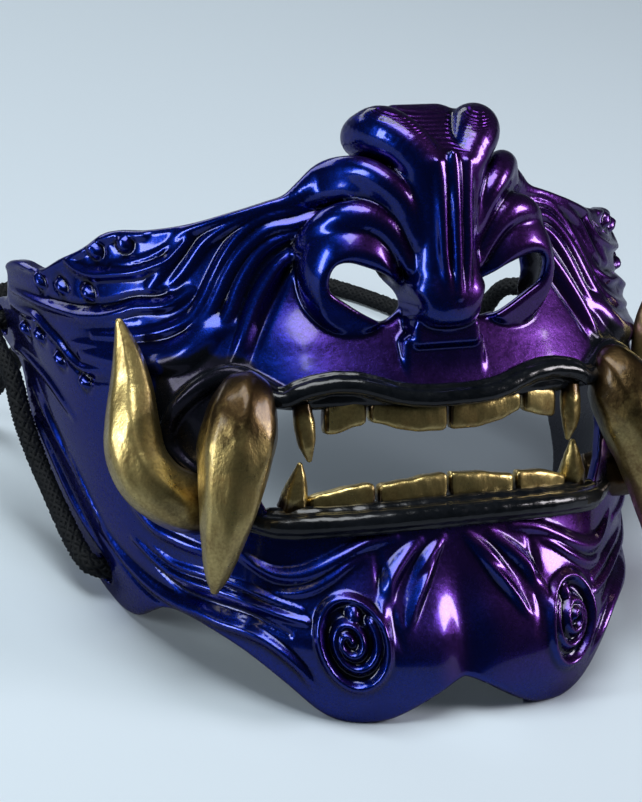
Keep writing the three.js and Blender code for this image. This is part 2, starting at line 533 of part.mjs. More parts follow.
// nose, wings and lobes over the bare shell
const outside = [noseBlock(0), wingBall, mirrorX(wingBall)];
const lobeSides = 5;
lobeRows.forEach((rows) => outside.push(...bothSides(sweep(rows, lobeSides, rows.length - 1))));
outside.push(solidOf(sweep(bridgeRidges[0], reliefSides, 3)), ...bothSides(sweep(bridgeRidges[1], reliefSides, 3)));
const block = (x, y, z, w, d, h) => {
  const g = new THREE.BoxGeometry(w, d, h);
  g.translate(x, y, z);
  return solidOf(g);
};
// the bar under the nose's tip and the flat between it and the lip
const columella = block(0, 4.9, 22.6, 15, 7.6, 5.2);
const philtrum = block(0, 6.2, 16.6, 19, 7.2, 10.8);
outside.push(columella, philtrum);
shell = shell.add(joinAll(outside));
shell = shell.subtract(noseBlock(wall)).subtract(wingHollow).subtract(mirrorX(wingHollow));
for (const rows of [...strands, ...bandEdges, ...jawRidges]) {
  bothSides(rod(rows)).forEach((s) => { shell = shell.add(s); });
}
for (const g of [curlRing(), curlSpiral()]) {
  bothSides(g).forEach((s) => { shell = shell.add(s); });
}
for (const s of studs) {
  for (const side of [-1, 1]) {
    const dome = facePoint(side * s.turn, s.z, -stud.sunk);
    shell = shell.add(ball(dome, stud.radius, stud.radius, stud.radius, stud.sides, stud.bands));
  }
}
shell = shell.subtract(mouth).subtract(nostrilHole).subtract(mirrorX(nostrilHole));
for (const cut of [...holeThrough(jawHole), ...holeThrough(earHole)]) {
  shell = shell.subtract(cut);
}
const lipCut = lipSolid(upperRim, upperGum, gap).add(lipSolid(lowerRim, lowerGum, gap));
shell = shell.subtract(lipCut);
const fangCut = joinAll(['upper_tusk', 'lower_tusk', 'upper_canine', 'lower_canine'].flatMap((n) => [fang(n, 1, gap), fang(n, -1, gap)]));
shell = shell.subtract(fangCut);

// the assembly
const bodyPaint = new THREE.MeshStandardMaterial({ color: 0x1c2078, roughness: 0.28, metalness: 0.75 });
const lipPaint = new THREE.MeshStandardMaterial({ color: 0x0a0b10, roughness: 0.15, metalness: 0.1 });
const goldPaint = new THREE.MeshStandardMaterial({ color: 0xb59a5c, roughness: 0.36, metalness: 0.85 });
const cordCloth = new THREE.MeshStandardMaterial({ color: 0x0b0c0e, roughness: 0.9, metalness: 0 });

const mask = new THREE.Group();
mask.rotation.x = -leanBack * Math.PI / 180;
mask.position.set(0, -middleDepth / unit, footHeight / unit);
const stand = new THREE.Group();
stand.scale.setScalar(unit);
stand.add(mask);

// the floor cuts small flats on the chin's lobes and the jaw corners
function flatFeet(solid) {
  const deep = 60;
  const g = new THREE.BoxGeometry(3 * breadth, 3 * breadth, deep);
  g.translate(0, 0, -deep / 2 - mask.position.z);
  g.rotateX(leanBack * Math.PI / 180);
  return solid.subtract(solidOf(g));
}

function piece(name, solid, material) {
  const mesh = new THREE.Mesh(solid instanceof THREE.BufferGeometry ? solid : geometryOf(solid), material);
  mesh.name = name;
  return mesh;
}

const whole = flatFeet(shell);
mask.add(piece('mask_shell', whole, bodyPaint));
const tusks = joinAll(['upper_tusk', 'lower_tusk'].flatMap((n) => [fang(n, 1, gap), fang(n, -1, gap)]));
const teethRoom = joinAll(['upper_canine', 'lower_canine'].flatMap((n) => [fang(n, 1, gap), fang(n, -1, gap)]));
const teeth = [];
for (const [name, rows] of Object.entries(toothRows)) {
  for (const side of [-1, 1]) {
    const tooth = broadTooth(rows, toothDepth);
    teeth.push({ name: `${name}_${side < 0 ? 'right' : 'left'}`, solid: side < 0 ? mirrorX(tooth) : tooth });
  }
}
const roomFor = (rows) => broadTooth(rows, toothDepth, gap);
let lipRoom = tusks.add(teethRoom);
for (const rows of Object.values(toothRows)) {
  const room = roomFor(rows);
  lipRoom = lipRoom.add(room).add(mirrorX(room));
}
mask.add(piece('upper_lip', lipSolid(upperRim, upperGum, 0).subtract(lipRoom), lipPaint));
mask.add(piece('lower_lip', lipSolid(lowerRim, lowerGum, 0).subtract(lipRoom), lipPaint));
teeth.forEach((t) => mask.add(piece(t.name, t.solid, goldPaint)));
for (const name of Object.keys(fangRows)) {
  for (const side of [-1, 1]) {
    mask.add(piece(`${name}_${side < 0 ? 'right' : 'left'}`, fang(name, side), goldPaint));
  }
}

// the cord: knotted inside a jaw hole, up along the edge, in through the ear tab, down to
// the floor behind the mask, round in one loose bow and the same way back on the other side
const toStand = (p) => p.clone().applyAxisAngle(v3(1, 0, 0), mask.rotation.x).add(mask.position);
const jawMiddle = facePoint(-jawHole.turn, jawHole.z, -wall / 2);
const earMiddle = facePoint(-earHole.turn, earHole.z, -wall / 2);
const knotRadius = 1.9 * cordRadius;
const knotReach = 7.0;       // cord between the hole and the knot
const clearOfFace = cordRadius + 0.6;
const onMask = [
  jawMiddle.clone().add(v3(knotReach, 0, 0)),
  jawMiddle.clone().add(v3(3.0, 0, 0)),
  jawMiddle.clone().add(v3(-1.5, 0, 0)),
  jawMiddle.clone().add(v3(-4.6, 0.4, 1.2)),
  facePoint(-85.6, -27.5, 3.2),
  facePoint(-88, -21, clearOfFace),
  facePoint(-91.5, -12, clearOfFace),
  facePoint(-96, -2, clearOfFace),
  facePoint(-100.5, 8, clearOfFace),
  facePoint(-103.6, 14.2, 3.4),
  earMiddle.clone().add(v3(-4.2, -0.2, -0.6)),
  earMiddle.clone().add(v3(-0.5, 0, 0)),
  earMiddle.clone().add(v3(3.5, 0, 0)),
].map(toStand);
const bow = [
  v3(-61.5, 60, 40.5), v3(-61, 68, 29), v3(-64, 78, 13), v3(-69, 89, 4.0), v3(-73, 101, 2.3), v3(-71, 123, 2.3),
  v3(-54, 145, 2.3), v3(-24, 161, 2.3), v3(12, 165, 2.3), v3(46, 153, 2.3), v3(68, 129, 2.3), v3(74, 104, 2.3),
  v3(70, 90, 4.0), v3(64, 78, 13), v3(61, 68, 29), v3(61.5, 60, 40.5),
];
const cordPath = [...onMask, ...bow, ...onMask.map(mirrored).reverse()];
const cordSides = 8;
const cordSection = new THREE.Shape(Array.from({ length: cordSides }, (_, k) => {
  const a = 2 * Math.PI * k / cordSides;
  return new THREE.Vector2(cordRadius * Math.cos(a), cordRadius * Math.sin(a));
}));
const cordTube = new THREE.ExtrudeGeometry(cordSection, {
  steps: 76,
  bevelEnabled: false,
  extrudePath: new THREE.CatmullRomCurve3(cordPath, false, 'centripetal'),
});
stand.add(piece('cord', solidOf(cordTube), cordCloth));
const knotFlat = 0.85;
for (const side of [-1, 1]) {
  const knot = new THREE.SphereGeometry(knotRadius, 9, 6);
  knot.scale(knotFlat, 1, 1);
  const spot = toStand(jawMiddle.clone().add(v3(knotReach + knotFlat * knotRadius + gap, 0, 0)));
  knot.translate(side < 0 ? spot.x : -spot.x, spot.y, spot.z);
  stand.add(piece(`cord_knot_${side < 0 ? 'right' : 'left'}`, solidOf(knot), cordCloth));
}

export default stand;
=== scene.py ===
import bpy
import math
import numpy as np
from mathutils import Matrix, Vector


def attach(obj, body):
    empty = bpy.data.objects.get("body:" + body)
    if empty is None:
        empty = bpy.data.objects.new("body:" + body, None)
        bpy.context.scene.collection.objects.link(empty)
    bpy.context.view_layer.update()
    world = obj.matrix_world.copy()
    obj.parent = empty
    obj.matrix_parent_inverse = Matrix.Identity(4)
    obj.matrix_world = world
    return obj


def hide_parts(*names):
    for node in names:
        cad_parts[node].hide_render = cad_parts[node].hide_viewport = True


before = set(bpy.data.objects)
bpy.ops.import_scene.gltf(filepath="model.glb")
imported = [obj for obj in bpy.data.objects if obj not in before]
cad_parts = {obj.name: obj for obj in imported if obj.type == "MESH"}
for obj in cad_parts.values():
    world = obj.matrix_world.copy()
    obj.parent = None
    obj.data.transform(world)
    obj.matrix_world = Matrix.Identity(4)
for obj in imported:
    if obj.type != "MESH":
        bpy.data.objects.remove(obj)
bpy.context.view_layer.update()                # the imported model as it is, every node in metres
for oldCamera in [o for o in bpy.data.objects if o.type in {"CAMERA", "LIGHT"}]:
    bpy.data.objects.remove(oldCamera)

# Everything below is drawn in the mask's own frame in millimetres: origin in the open mouth,
# x to the picture's right, y back into the head, z up. toWorld stands it on its chin, in metres.
stand = {
    "leanBack": 18.4,        # degrees
    "footHeight": 53.6,      # floor to the middle of the mouth
    "middleDepth": 37.4,     # centres the mask front to back
}
leanCos = math.cos(math.radians(stand["leanBack"]))
leanSin = math.sin(math.radians(stand["leanBack"]))


def toWorld(p):
    p = np.asarray(p, float)
    y = p[..., 1] * leanCos + p[..., 2] * leanSin - stand["middleDepth"]
    z = -p[..., 1] * leanSin + p[..., 2] * leanCos + stand["footHeight"]
    return np.stack([p[..., 0], y, z], -1) / 1000


def turnToWorld(v):
    v = np.asarray(v, float)
    return np.stack([v[..., 0], v[..., 1] * leanCos + v[..., 2] * leanSin,
                     -v[..., 1] * leanSin + v[..., 2] * leanCos], -1)


# camera at the photograph's angle
shot = {
    "turn": 26.0,            # degrees round to the mask's right cheek
    "height": 10.2,          # degrees above the mask's own front
    "distance": 554.0,
    "focal": 2631.5,         # pixels
    "pictureWide": 642,
    "pictureHigh": 802,
    "mouthAt": (451, 440),   # where the middle of the mouth falls in the picture
    "film": 36.0,            # millimetres over the picture's height
    "near": 0.01,            # metres
    "far": 20.0,
}


def makeCamera():
    turn, rise = math.radians(shot["turn"]), math.radians(shot["height"])
    right = np.array([math.cos(turn), -math.sin(turn), 0])
    ahead = np.array([math.sin(turn) * math.cos(rise), math.cos(turn) * math.cos(rise), -math.sin(rise)])
    up = np.cross(right, ahead)
    eye = -ahead * shot["distance"]
    aside = (shot["mouthAt"][0] - shot["pictureWide"] / 2) / shot["focal"]
    below = (shot["mouthAt"][1] - shot["pictureHigh"] / 2) / shot["focal"]
    look = ahead - aside * right + below * up
    look /= np.linalg.norm(look)
    right = right - look * right.dot(look)
    right /= np.linalg.norm(right)
    look, right = turnToWorld(look), turnToWorld(right)
    up = np.cross(right, look)
    data = bpy.data.cameras.new("photoCamera")
    data.sensor_fit = "VERTICAL"
    data.sensor_height = shot["film"]
    data.lens = shot["focal"] / shot["pictureHigh"] * shot["film"]
    data.clip_start = shot["near"]
    data.clip_end = shot["far"]
    camera = bpy.data.objects.new("photoCamera", data)
    bpy.context.scene.collection.objects.link(camera)
    place = Matrix((Vector(right), Vector(up), Vector(-look))).transposed().to_4x4()
    place.translation = Vector(toWorld(eye))
    camera.matrix_world = place
    bpy.context.scene.camera = camera


makeCamera()
print("camera set")

# the bare face: one row per height. half = half width, front = the middle line, depth = how far
# back the curve runs until the side goes straight, power = how square the curve is
faceRows = [
    {"z": -62, "half": 52.0, "front": -5.0, "depth": 60, "power": 2.5},
    {"z": -50, "half": 55.0, "front": -9.0, "depth": 66, "power": 2.5},
    {"z": -40, "half": 58.0, "front": -9.0, "depth": 68, "power": 2.5},
    {"z": -30, "half": 61.0, "front": -5.0, "depth": 68, "power": 2.4},
    {"z": -20, "half": 64.0, "front": -2.0, "depth": 68, "power": 2.4},
    {"z": -10, "half": 66.0, "front": -1.0, "depth": 70, "power": 2.4},
    {"z": 0, "half": 68.0, "front": 0.0, "depth": 70, "power": 2.4},
    {"z": 10, "half": 69.0, "front": 0.5, "depth": 70, "power": 2.4},
    {"z": 20, "half": 71.0, "front": 5.0, "depth": 70, "power": 2.3},
    {"z": 30, "half": 72.0, "front": 10.0, "depth": 70, "power": 2.2},
    {"z": 40, "half": 73.0, "front": 13.0, "depth": 70, "power": 2.1},
    {"z": 50, "half": 72.0, "front": 15.0, "depth": 68, "power": 2.1},
    {"z": 60, "half": 70.0, "front": 16.0, "depth": 66, "power": 2.1},
    {"z": 72, "half": 66.0, "front": 17.0, "depth": 62, "power": 2.1},
]
backEnd = 112                # turn at the end of the ear tab
# edges of the shell as (turn, z): turn is degrees round the face up to 90, then millimetres back
lowerEdge = [(0, -49.5), (7, -54.3), (13, -57.2), (19, -58), (24, -57.6), (30, -55.2), (38, -49), (47, -42.6),
             (57, -38.2), (66, -36.8), (73, -38.8), (80, -41.3), (86, -40.2), (90, -35), (93, -19), (98, -7),
             (102, 9), (108, 13), (112, 16)]
upperEdge = [(0, 66), (5, 66), (10, 60), (14, 54), (18, 52), (24, 50.5), (31, 48), (40, 45), (48, 43.5),
             (56, 42.8), (62, 39), (68, 36.5), (75, 33.6), (82, 34.6), (88, 33.5), (92, 29.5), (96, 25.5),
             (104, 24.2), (109, 23), (112, 21)]


def smoothRead(keys, values, x):             # smooth curve through a table's rows, read at x
    keys, values = np.asarray(keys, float), np.asarray(values, float)
    x = np.clip(np.asarray(x, float), keys[0], keys[-1])
    i = np.clip(np.searchsorted(keys, x, side="right") - 1, 0, len(keys) - 2)
    before, after = np.maximum(i - 1, 0), np.minimum(i + 2, len(keys) - 1)
    startSlope = (values[i + 1] - values[before]) / (keys[i + 1] - keys[before])
    endSlope = (values[after] - values[i]) / (keys[after] - keys[i])
    step = keys[i + 1] - keys[i]
    t = (x - keys[i]) / step
    return ((2 * t ** 3 - 3 * t ** 2 + 1) * values[i] + (t ** 3 - 2 * t ** 2 + t) * step * startSlope
            + (3 * t ** 2 - 2 * t ** 3) * values[i + 1] + (t ** 3 - t ** 2) * step * endSlope)


fineZ = np.arange(-70, 84, 0.25)
faceFine = {k: smoothRead([r["z"] for r in faceRows], [r[k] for r in faceRows], fineZ)
            for k in ("half", "front", "depth", "power")}


def faceAt(z):
    return [np.interp(z, fineZ, faceFine[k]) for k in ("half", "front", "depth", "power")]


def faceSpot(turn, z):
    turn, z = np.asarray(turn, float), np.asarray(z, float)
    half, front, depth, power = faceAt(z)
    size = np.abs(turn)
    angle = np.radians(np.minimum(size, 90))
    side = np.sin(angle) ** (2 / power)
    forward = np.maximum(np.cos(angle), 0) ** (2 / power)
    y = front + depth * (1 - forward) + np.maximum(size - 90, 0)
    return np.stack([np.sign(turn) * half * side, y, z + 0 * turn], -1)


def facePoint(turn, z, out=0.0):             # a point of the bare face, moved out along its normal
    along = faceSpot(turn + 3, z) - faceSpot(turn - 3, z)
    upward = faceSpot(turn, z + 2) - faceSpot(turn, z - 2)
    normal = np.cross(along, upward)
    normal /= np.linalg.norm(normal, axis=-1, keepdims=True)
    return faceSpot(turn, z) + normal * np.asarray(out)[..., None]


turnFine = np.linspace(0, 90, 361)


def runAlong(path):                          # distance from the start to each point of a line
    return np.concatenate([[0], np.cumsum(np.linalg.norm(np.diff(path, axis=0), axis=1))])


arcFine = runAlong(faceSpot(turnFine, 0 * turnFine))


def arcOf(turn):                             # millimetres round the face at a turn
    return np.interp(np.minimum(turn, 90), turnFine, arcFine) + np.maximum(np.asarray(turn, float) - 90, 0)


def smoothPath(points, perSpan):             # points on a rounded line through the given ones
    points = np.asarray(points, float)
    gaps = np.sqrt(np.linalg.norm(np.diff(points[:, :3], axis=0), axis=1))
    knots = np.concatenate([[0], np.cumsum(gaps)])
    steps = np.concatenate([np.linspace(knots[i], knots[i + 1], perSpan, endpoint=False)
                            for i in range(len(knots) - 1)] + [[knots[-1]]])
    return np.stack([smoothRead(knots, points[:, k], steps) for k in range(points.shape[1])], -1)


def makeMesh(name, vertices, faces, material):
    mesh = bpy.data.meshes.new(name)
    mesh.from_pydata(np.asarray(vertices).tolist(), [], [list(f) for f in faces])
    mesh.update()
    mesh.polygons.foreach_set("use_smooth", [True] * len(mesh.polygons))
    obj = bpy.data.objects.new(name, mesh)
    bpy.context.scene.collection.objects.link(obj)
    mesh.materials.append(material)
    return obj


def tubeRings(path, radii, sides, shape=None):   # rings of points round a path, without twist
    path = np.asarray(path, float)
    ahead = np.gradient(path, axis=0)
    ahead /= np.linalg.norm(ahead, axis=1, keepdims=True)
    side = np.cross([0.3, -0.8, 0.5], ahead[0])
    angles = 2 * np.pi * np.arange(sides) / sides
    rings = []
    for i, (spot, way) in enumerate(zip(path, ahead)):
        side = side - way * side.dot(way)
        side /= np.linalg.norm(side)
        other = np.cross(way, side)
        size = np.full(sides, float(radii[i]))
        if shape is not None:
            size = size * shape(i / (len(path) - 1), angles)
        around = np.cos(angles)[:, None] * side + np.sin(angles)[:, None] * other
        rings.append(spot + size[:, None] * around)
    return np.array(rings)


def ringFaces(count, sides, start=0):
    i, j = np.meshgrid(np.arange(count - 1), np.arange(sides), indexing="ij")
    k = (j + 1) % sides
    quads = np.stack([i * sides + j, i * sides + k, (i + 1) * sides + k, (i + 1) * sides + j], -1)
    faces = (quads.reshape(-1, 4) + start).tolist()
    faces.append(list(range(start + sides - 1, start - 1, -1)))
    last = start + (count - 1) * sides
    faces.append(list(range(last, last + sides)))
    return faces


# the cord: knotted inside a jaw hole, up along the shell's edge, in through the ear tab, down to the
# floor behind the mask, round in one loose bow and the same way back on the other side
cordFacts = {
    "diameter": 4.4,
    "strands": 8,            # each way round
    "strandRadius": 0.66,
    "braidPitch": 15.0,      # length of one full turn of a strand
    "weave": 0.28,           # how far a strand rises and dips as it crosses the others
    "fill": 0.34,            # how far the core fills the gaps between the strands
    "coreSides": 8,
    "sides": 6,
    "samplesPerMm": 1.1,
}
jawHole = {"turn": 84.5, "z": -33.0, "radius": 3.3}
earHole = {"turn": backEnd - 6.5, "z": 18.8, "radius": 3.3}
boreReach = 8.0              # how far a cord hole's bore reaches each way
wall = 3.0
jawMiddle = facePoint(-jawHole["turn"], jawHole["z"], -wall / 2)
earMiddle = facePoint(-earHole["turn"], earHole["z"], -wall / 2)
cordOnMask = toWorld([
    jawMiddle + [7.0, 0, 0], jawMiddle + [3.0, 0, 0], jawMiddle + [-1.5, 0, 0], jawMiddle + [-4.6, 0.4, 1.2],
    facePoint(-85.6, -27.5, 3.2), facePoint(-88, -21, 2.9), facePoint(-91.5, -12, 2.8),
    facePoint(-96, -2, 2.8), facePoint(-100.5, 8, 2.8), facePoint(-103.6, 14.2, 3.4),
    earMiddle + [-4.2, -0.2, -0.6], earMiddle + [-0.5, 0, 0], earMiddle + [3.5, 0, 0]]) * 1000
cordBow = np.array([
    (-61.5, 60, 40.5), (-61, 68, 29), (-64, 78, 13), (-69, 89, 4), (-73, 101, 2.3), (-71, 123, 2.3),
    (-54, 145, 2.3), (-24, 161, 2.3), (12, 165, 2.3), (46, 153, 2.3), (68, 129, 2.3), (74, 104, 2.3),
    (70, 90, 4), (64, 78, 13), (61, 68, 29), (61.5, 60, 40.5)])
cordRoute = smoothPath(np.concatenate([cordOnMask, cordBow, (cordOnMask * [-1, 1, 1])[::-1]]), 12)


def evenly(path, spacing):                   # the same line with points at even distances
    run = runAlong(path)
    steps = np.linspace(0, run[-1], max(8, int(run[-1] / spacing)))
    return np.stack([np.interp(steps, run, path[:, k]) for k in range(3)], -1), run[-1]


def makeBraid(name, route, facts, material):
    core, length = evenly(route, 1 / facts["samplesPerMm"])
    ahead = np.gradient(core, axis=0)
    ahead /= np.linalg.norm(ahead, axis=1, keepdims=True)
    side = np.cross(ahead[0], [0, 0.2, 1])
    sides, others = [], []
    for way in ahead:
        side = side - way * side.dot(way)
        side /= np.linalg.norm(side)
        sides.append(side)
        others.append(np.cross(way, side))
    sides, others = np.array(sides), np.array(others)
    run = np.linspace(0, length, len(core))
    radius = facts["diameter"] / 2 - facts["strandRadius"]
    vertices, faces = [], []
    inner = tubeRings(core, np.full(len(core), radius + facts["fill"]), facts["coreSides"])
    faces += ringFaces(len(core), facts["coreSides"])
    vertices += inner.reshape(-1, 3).tolist()
    for handed in (1, -1):
        for n in range(facts["strands"]):
            phase = 2 * math.pi * n / facts["strands"]
            angle = handed * (2 * math.pi * run / facts["braidPitch"]) + phase
            crossing = facts["strands"] * 2 * math.pi * run / facts["braidPitch"] + handed * phase * 4
            over = np.sin(crossing + (0 if handed > 0 else math.pi))
            far = radius + facts["weave"] * handed * over
            line = core + far[:, None] * (np.cos(angle)[:, None] * sides + np.sin(angle)[:, None] * others)
            start = len(vertices)
            rings = tubeRings(line, np.full(len(core), facts["strandRadius"]), facts["sides"])
            vertices += rings.reshape(-1, 3).tolist()
            faces += ringFaces(len(core), facts["sides"], start)
    return makeMesh(name, np.array(vertices) / 1000, faces, material), length / 1000


# shader groups used by more than one finish
def newGroup(name, inputs, outputs):
    group = bpy.data.node_groups.new(name, "ShaderNodeTree")
    for kind, label, value in inputs:
        socket = group.interface.new_socket(name=label, in_out="INPUT", socket_type=kind)
        if value is not None:
            socket.default_value = value
    for kind, label in outputs:
        group.interface.new_socket(name=label, in_out="OUTPUT", socket_type=kind)
    return group, group.nodes.new("NodeGroupInput"), group.nodes.new("NodeGroupOutput")


def addNode(tree, kind, settings=None, values=None):
    node = tree.nodes.new(kind)
    for k, v in (settings or {}).items():
        setattr(node, k, v)
    for k, v in (values or {}).items():
        node.inputs[k].default_value = v
    return node


def makeWearGroup():                         # soft blotches with fine grain, for rub and dirt
    group, ins, outs = newGroup("rubAndGrain", [
        ("NodeSocketFloat", "Blotch Scale", 60.0), ("NodeSocketFloat", "Grain Scale", 900.0),
        ("NodeSocketFloat", "Grain Share", 0.3)], [("NodeSocketFloat", "Mask")])
    place = addNode(group, "ShaderNodeTexCoord")
    blotch = addNode(group, "ShaderNodeTexNoise", None, {"Detail": 4.0, "Roughness": 0.6})
    grain = addNode(group, "ShaderNodeTexNoise", None, {"Detail": 2.0, "Roughness": 0.5})
    mix = addNode(group, "ShaderNodeMix", {"data_type": "FLOAT"})
    link = group.links.new
    link(place.outputs["Object"], blotch.inputs["Vector"])
    link(place.outputs["Object"], grain.inputs["Vector"])
    link(ins.outputs["Blotch Scale"], blotch.inputs["Scale"])
    link(ins.outputs["Grain Scale"], grain.inputs["Scale"])
    link(ins.outputs["Grain Share"], mix.inputs["Factor"])
    link(blotch.outputs["Fac"], mix.inputs["A"])
    link(grain.outputs["Fac"], mix.inputs["B"])
    link(mix.outputs["Result"], outs.inputs["Mask"])
    return group


wearGroup = makeWearGroup()


def newMaterial(name):
    material = bpy.data.materials.new(name)
    material.use_nodes = True
    tree = material.node_tree
    shader = next(n for n in tree.nodes if n.type == "BSDF_PRINCIPLED")
    return material, tree, shader, tree.links.new


def useGroup(tree, group, values):
    node = tree.nodes.new("ShaderNodeGroup")
    node.node_tree = group
    for k, v in values.items():
        node.inputs[k].default_value = v
    return node


def layOut(tree, source, low, high, fromLow=0.0, fromHigh=1.0, smooth=False):
    node = addNode(tree, "ShaderNodeMapRange", {"interpolation_type": "SMOOTHSTEP" if smooth else "LINEAR"},
                   {"From Min": fromLow, "From Max": fromHigh, "To Min": low, "To Max": high})
    tree.links.new(source, node.inputs["Value"])
    return node.outputs["Result"]


def mixColour(tree, share, first, second):   # first may be a colour or another node's output
    node = addNode(tree, "ShaderNodeMix", {"data_type": "RGBA"}, {"B": second})
    tree.links.new(share, node.inputs["Factor"])
    if isinstance(first, tuple):
        node.inputs["A"].default_value = first
    else:
        tree.links.new(first, node.inputs["A"])
    return node.outputs["Result"]


def addBump(tree, height, strength, distance, below=None):
    node = addNode(tree, "ShaderNodeBump", None, {"Strength": strength, "Distance": distance})
    tree.links.new(height, node.inputs["Height"])
    if below is not None:
        tree.links.new(below, node.inputs["Normal"])
    return node.outputs["Normal"]


def addNoise(tree, place, scale, detail, rough=0.5):
    node = addNode(tree, "ShaderNodeTexNoise", None, {"Scale": scale, "Detail": detail, "Roughness": rough})
    tree.links.new(place, node.inputs["Vector"])
    return node.outputs["Fac"]


def combine(tree, operation, first, second, third=None):
    node = addNode(tree, "ShaderNodeMath", {"operation": operation})
    for socket, value in zip(node.inputs, (first, second, third)):
        if isinstance(value, float):
            socket.default_value = value
        elif value is not None:
            tree.links.new(value, socket)
    return node.outputs["Value"]


def readShade(tree, name):                   # a value painted on the mesh's points
    return addNode(tree, "ShaderNodeAttribute", {"attribute_name": name}).outputs["Fac"]


def rampNode(tree, stops):
    node = tree.nodes.new("ShaderNodeValToRGB")
    elements = node.color_ramp.elements
    while len(elements) < len(stops):
        elements.new(0.5)
    for element, (at, colour) in zip(elements, stops):
        element.position = at
        element.color = colour
    return node


bodyFinish = {
    "deepBlue": (0.002, 0.017, 0.22, 1),
    "violet": (0.085, 0.022, 0.18, 1),
    "edgeViolet": (0.11, 0.075, 0.17, 1),
    # hollow: painted shade, the near black that hollows and creases are darkened to
    "hollow": (0.001, 0.002, 0.012, 1),
    "black": (0.004, 0.005, 0.007, 1),
    # painted light: surfaces facing the top and right lamps turn violet, standing for the colour shift those
    # lamps bring out in the paint
    "violetTowardLamps": (0.60, -0.14, 0.56),        # surfaces that face this way turn violet
    "violetSide": (6.0, 0.0, 2.0),           # more violet for each metre right and up
    "violetFrom": -0.05,
    "violetTo": 0.62,
    "blotchScale": 26.0,
    "blotchSway": 0.7,                       # how much the blotches shift the colour
    "blotchMiddle": -0.50,
    "edgeShare": 0.5,
    "flakeScale": 2600.0,
    "flakeDim": 0.86,
    "flakeBright": 1.20,
    "rough": 0.23,
    "metal": 0.94,
    "grazing": (0.30, 0.24, 0.52, 1),
    "specular": 0.32,
    "coat": 0.8,
    "coatOnBlack": 0.16,
    "coatRough": 0.10,
    "layer": 0.00038,                        # metres between two print layers
    "layerWander": 0.0012,
}


def bodyColour(tree, f, place, blotch):      # blue at the picture's left, violet towards its right
    geometry = addNode(tree, "ShaderNodeNewGeometry")
    # painted light: the violet follows which way a surface faces the lamps; the blotches are the paint's own
    # uneven tone
    facing = addNode(tree, "ShaderNodeVectorMath", {"operation": "DOT_PRODUCT"}, {1: f["violetTowardLamps"]})
    tree.links.new(geometry.outputs["Normal"], facing.inputs[0])
    aside = addNode(tree, "ShaderNodeVectorMath", {"operation": "DOT_PRODUCT"}, {1: f["violetSide"]})
    tree.links.new(place, aside.inputs[0])
    sway = combine(tree, "MULTIPLY_ADD", blotch, f["blotchSway"], f["blotchMiddle"])
    total = combine(tree, "ADD", combine(tree, "ADD", facing.outputs["Value"], sway), aside.outputs["Value"])
    shift = layOut(tree, total, 0.0, 1.0, f["violetFrom"], f["violetTo"], smooth=True)
    colour = mixColour(tree, shift, f["deepBlue"], f["violet"])
    # towards the outline the paint turns grey violet
    layer = addNode(tree, "ShaderNodeLayerWeight", None, {"Blend": 0.35})
    rim = layOut(tree, layer.outputs["Facing"], 0.0, f["edgeShare"], 0.35, 0.95, smooth=True)
    colour = mixColour(tree, rim, colour, f["edgeViolet"])
    # painted shade: hollows and creases darkened towards near black
    return mixColour(tree, readShade(tree, "hollow"), colour, f["hollow"])


def printLayers(tree, f, place, blotch):     # the print's layers, as a wave up the mask
    split = addNode(tree, "ShaderNodeSeparateXYZ")
    tree.links.new(place, split.inputs["Vector"])
    height = combine(tree, "MULTIPLY_ADD", blotch, f["layerWander"], split.outputs["Z"])
    wave = combine(tree, "SINE", combine(tree, "MULTIPLY", height, 2 * math.pi / f["layer"]), None)
    return combine(tree, "MULTIPLY", wave, readShade(tree, "layers"))


def makeBodyPaint():                         # colour-shift metallic under a clear coat
    f = bodyFinish
    material, tree, shader, link = newMaterial("bodyPaint")
    place = addNode(tree, "ShaderNodeTexCoord").outputs["Object"]
    blotch = addNoise(tree, place, f["blotchScale"], 3.0, 0.55)
    colour = bodyColour(tree, f, place, blotch)
    # metal flake: tiny cells, each a little lighter or darker and tipped its own way
    flake = addNode(tree, "ShaderNodeTexVoronoi", {"feature": "F1"}, {"Scale": f["flakeScale"]})
    link(place, flake.inputs["Vector"])
    sparkle = addNode(tree, "ShaderNodeSeparateColor")
    link(flake.outputs["Color"], sparkle.inputs["Color"])
    lit = addNode(tree, "ShaderNodeVectorMath", {"operation": "SCALE"})
    link(colour, lit.inputs[0])
    link(layOut(tree, sparkle.outputs["Red"], f["flakeDim"], f["flakeBright"]), lit.inputs["Scale"])
    # black lacquer round the roots of the tusks and over the inner side
    black = readShade(tree, "black")
    link(mixColour(tree, black, lit.outputs["Vector"], f["black"]), shader.inputs["Base Color"])
    link(layOut(tree, black, f["metal"], 0.0), shader.inputs["Metallic"])
    link(layOut(tree, black, f["coat"], f["coatOnBlack"]), shader.inputs["Coat Weight"])
    wear = useGroup(tree, wearGroup, {"Blotch Scale": 90.0, "Grain Scale": 1400.0, "Grain Share": 0.35})
    rough = layOut(tree, wear.outputs["Mask"], f["rough"] - 0.06, f["rough"] + 0.12, 0.3, 0.7)
    link(rough, shader.inputs["Roughness"])
    # relief: flake and orange peel, both very low, and the print's layers on the knobs of the nose
    normal = addBump(tree, sparkle.outputs["Green"], 0.10, 0.0001)
    normal = addBump(tree, addNoise(tree, place, 420.0, 3.0), 0.16, 0.0004, normal)
    normal = addBump(tree, printLayers(tree, f, place, blotch), 0.55, 0.0003, normal)
    link(normal, shader.inputs["Normal"])
    shader.inputs["Specular IOR Level"].default_value = f["specular"]
    shader.inputs["Specular Tint"].default_value = f["grazing"]
    shader.inputs["Coat Roughness"].default_value = f["coatRough"]
    shader.inputs["Coat IOR"].default_value = 1.5
    return material


goldFinish = {
    "bright": (0.68, 0.54, 0.21, 1),
    "dull": (0.27, 0.175, 0.06, 1),
    "wash": (0.035, 0.016, 0.006, 1),
    "washShare": 0.94,                       # how much of the gold the wash hides at the roots
    "drawnOut": (1.0, 1.0, 0.35),            # brush marks run down the teeth
    "metal": 0.95,
    "coat": 0.35,
    "coatRough": 0.15,
}


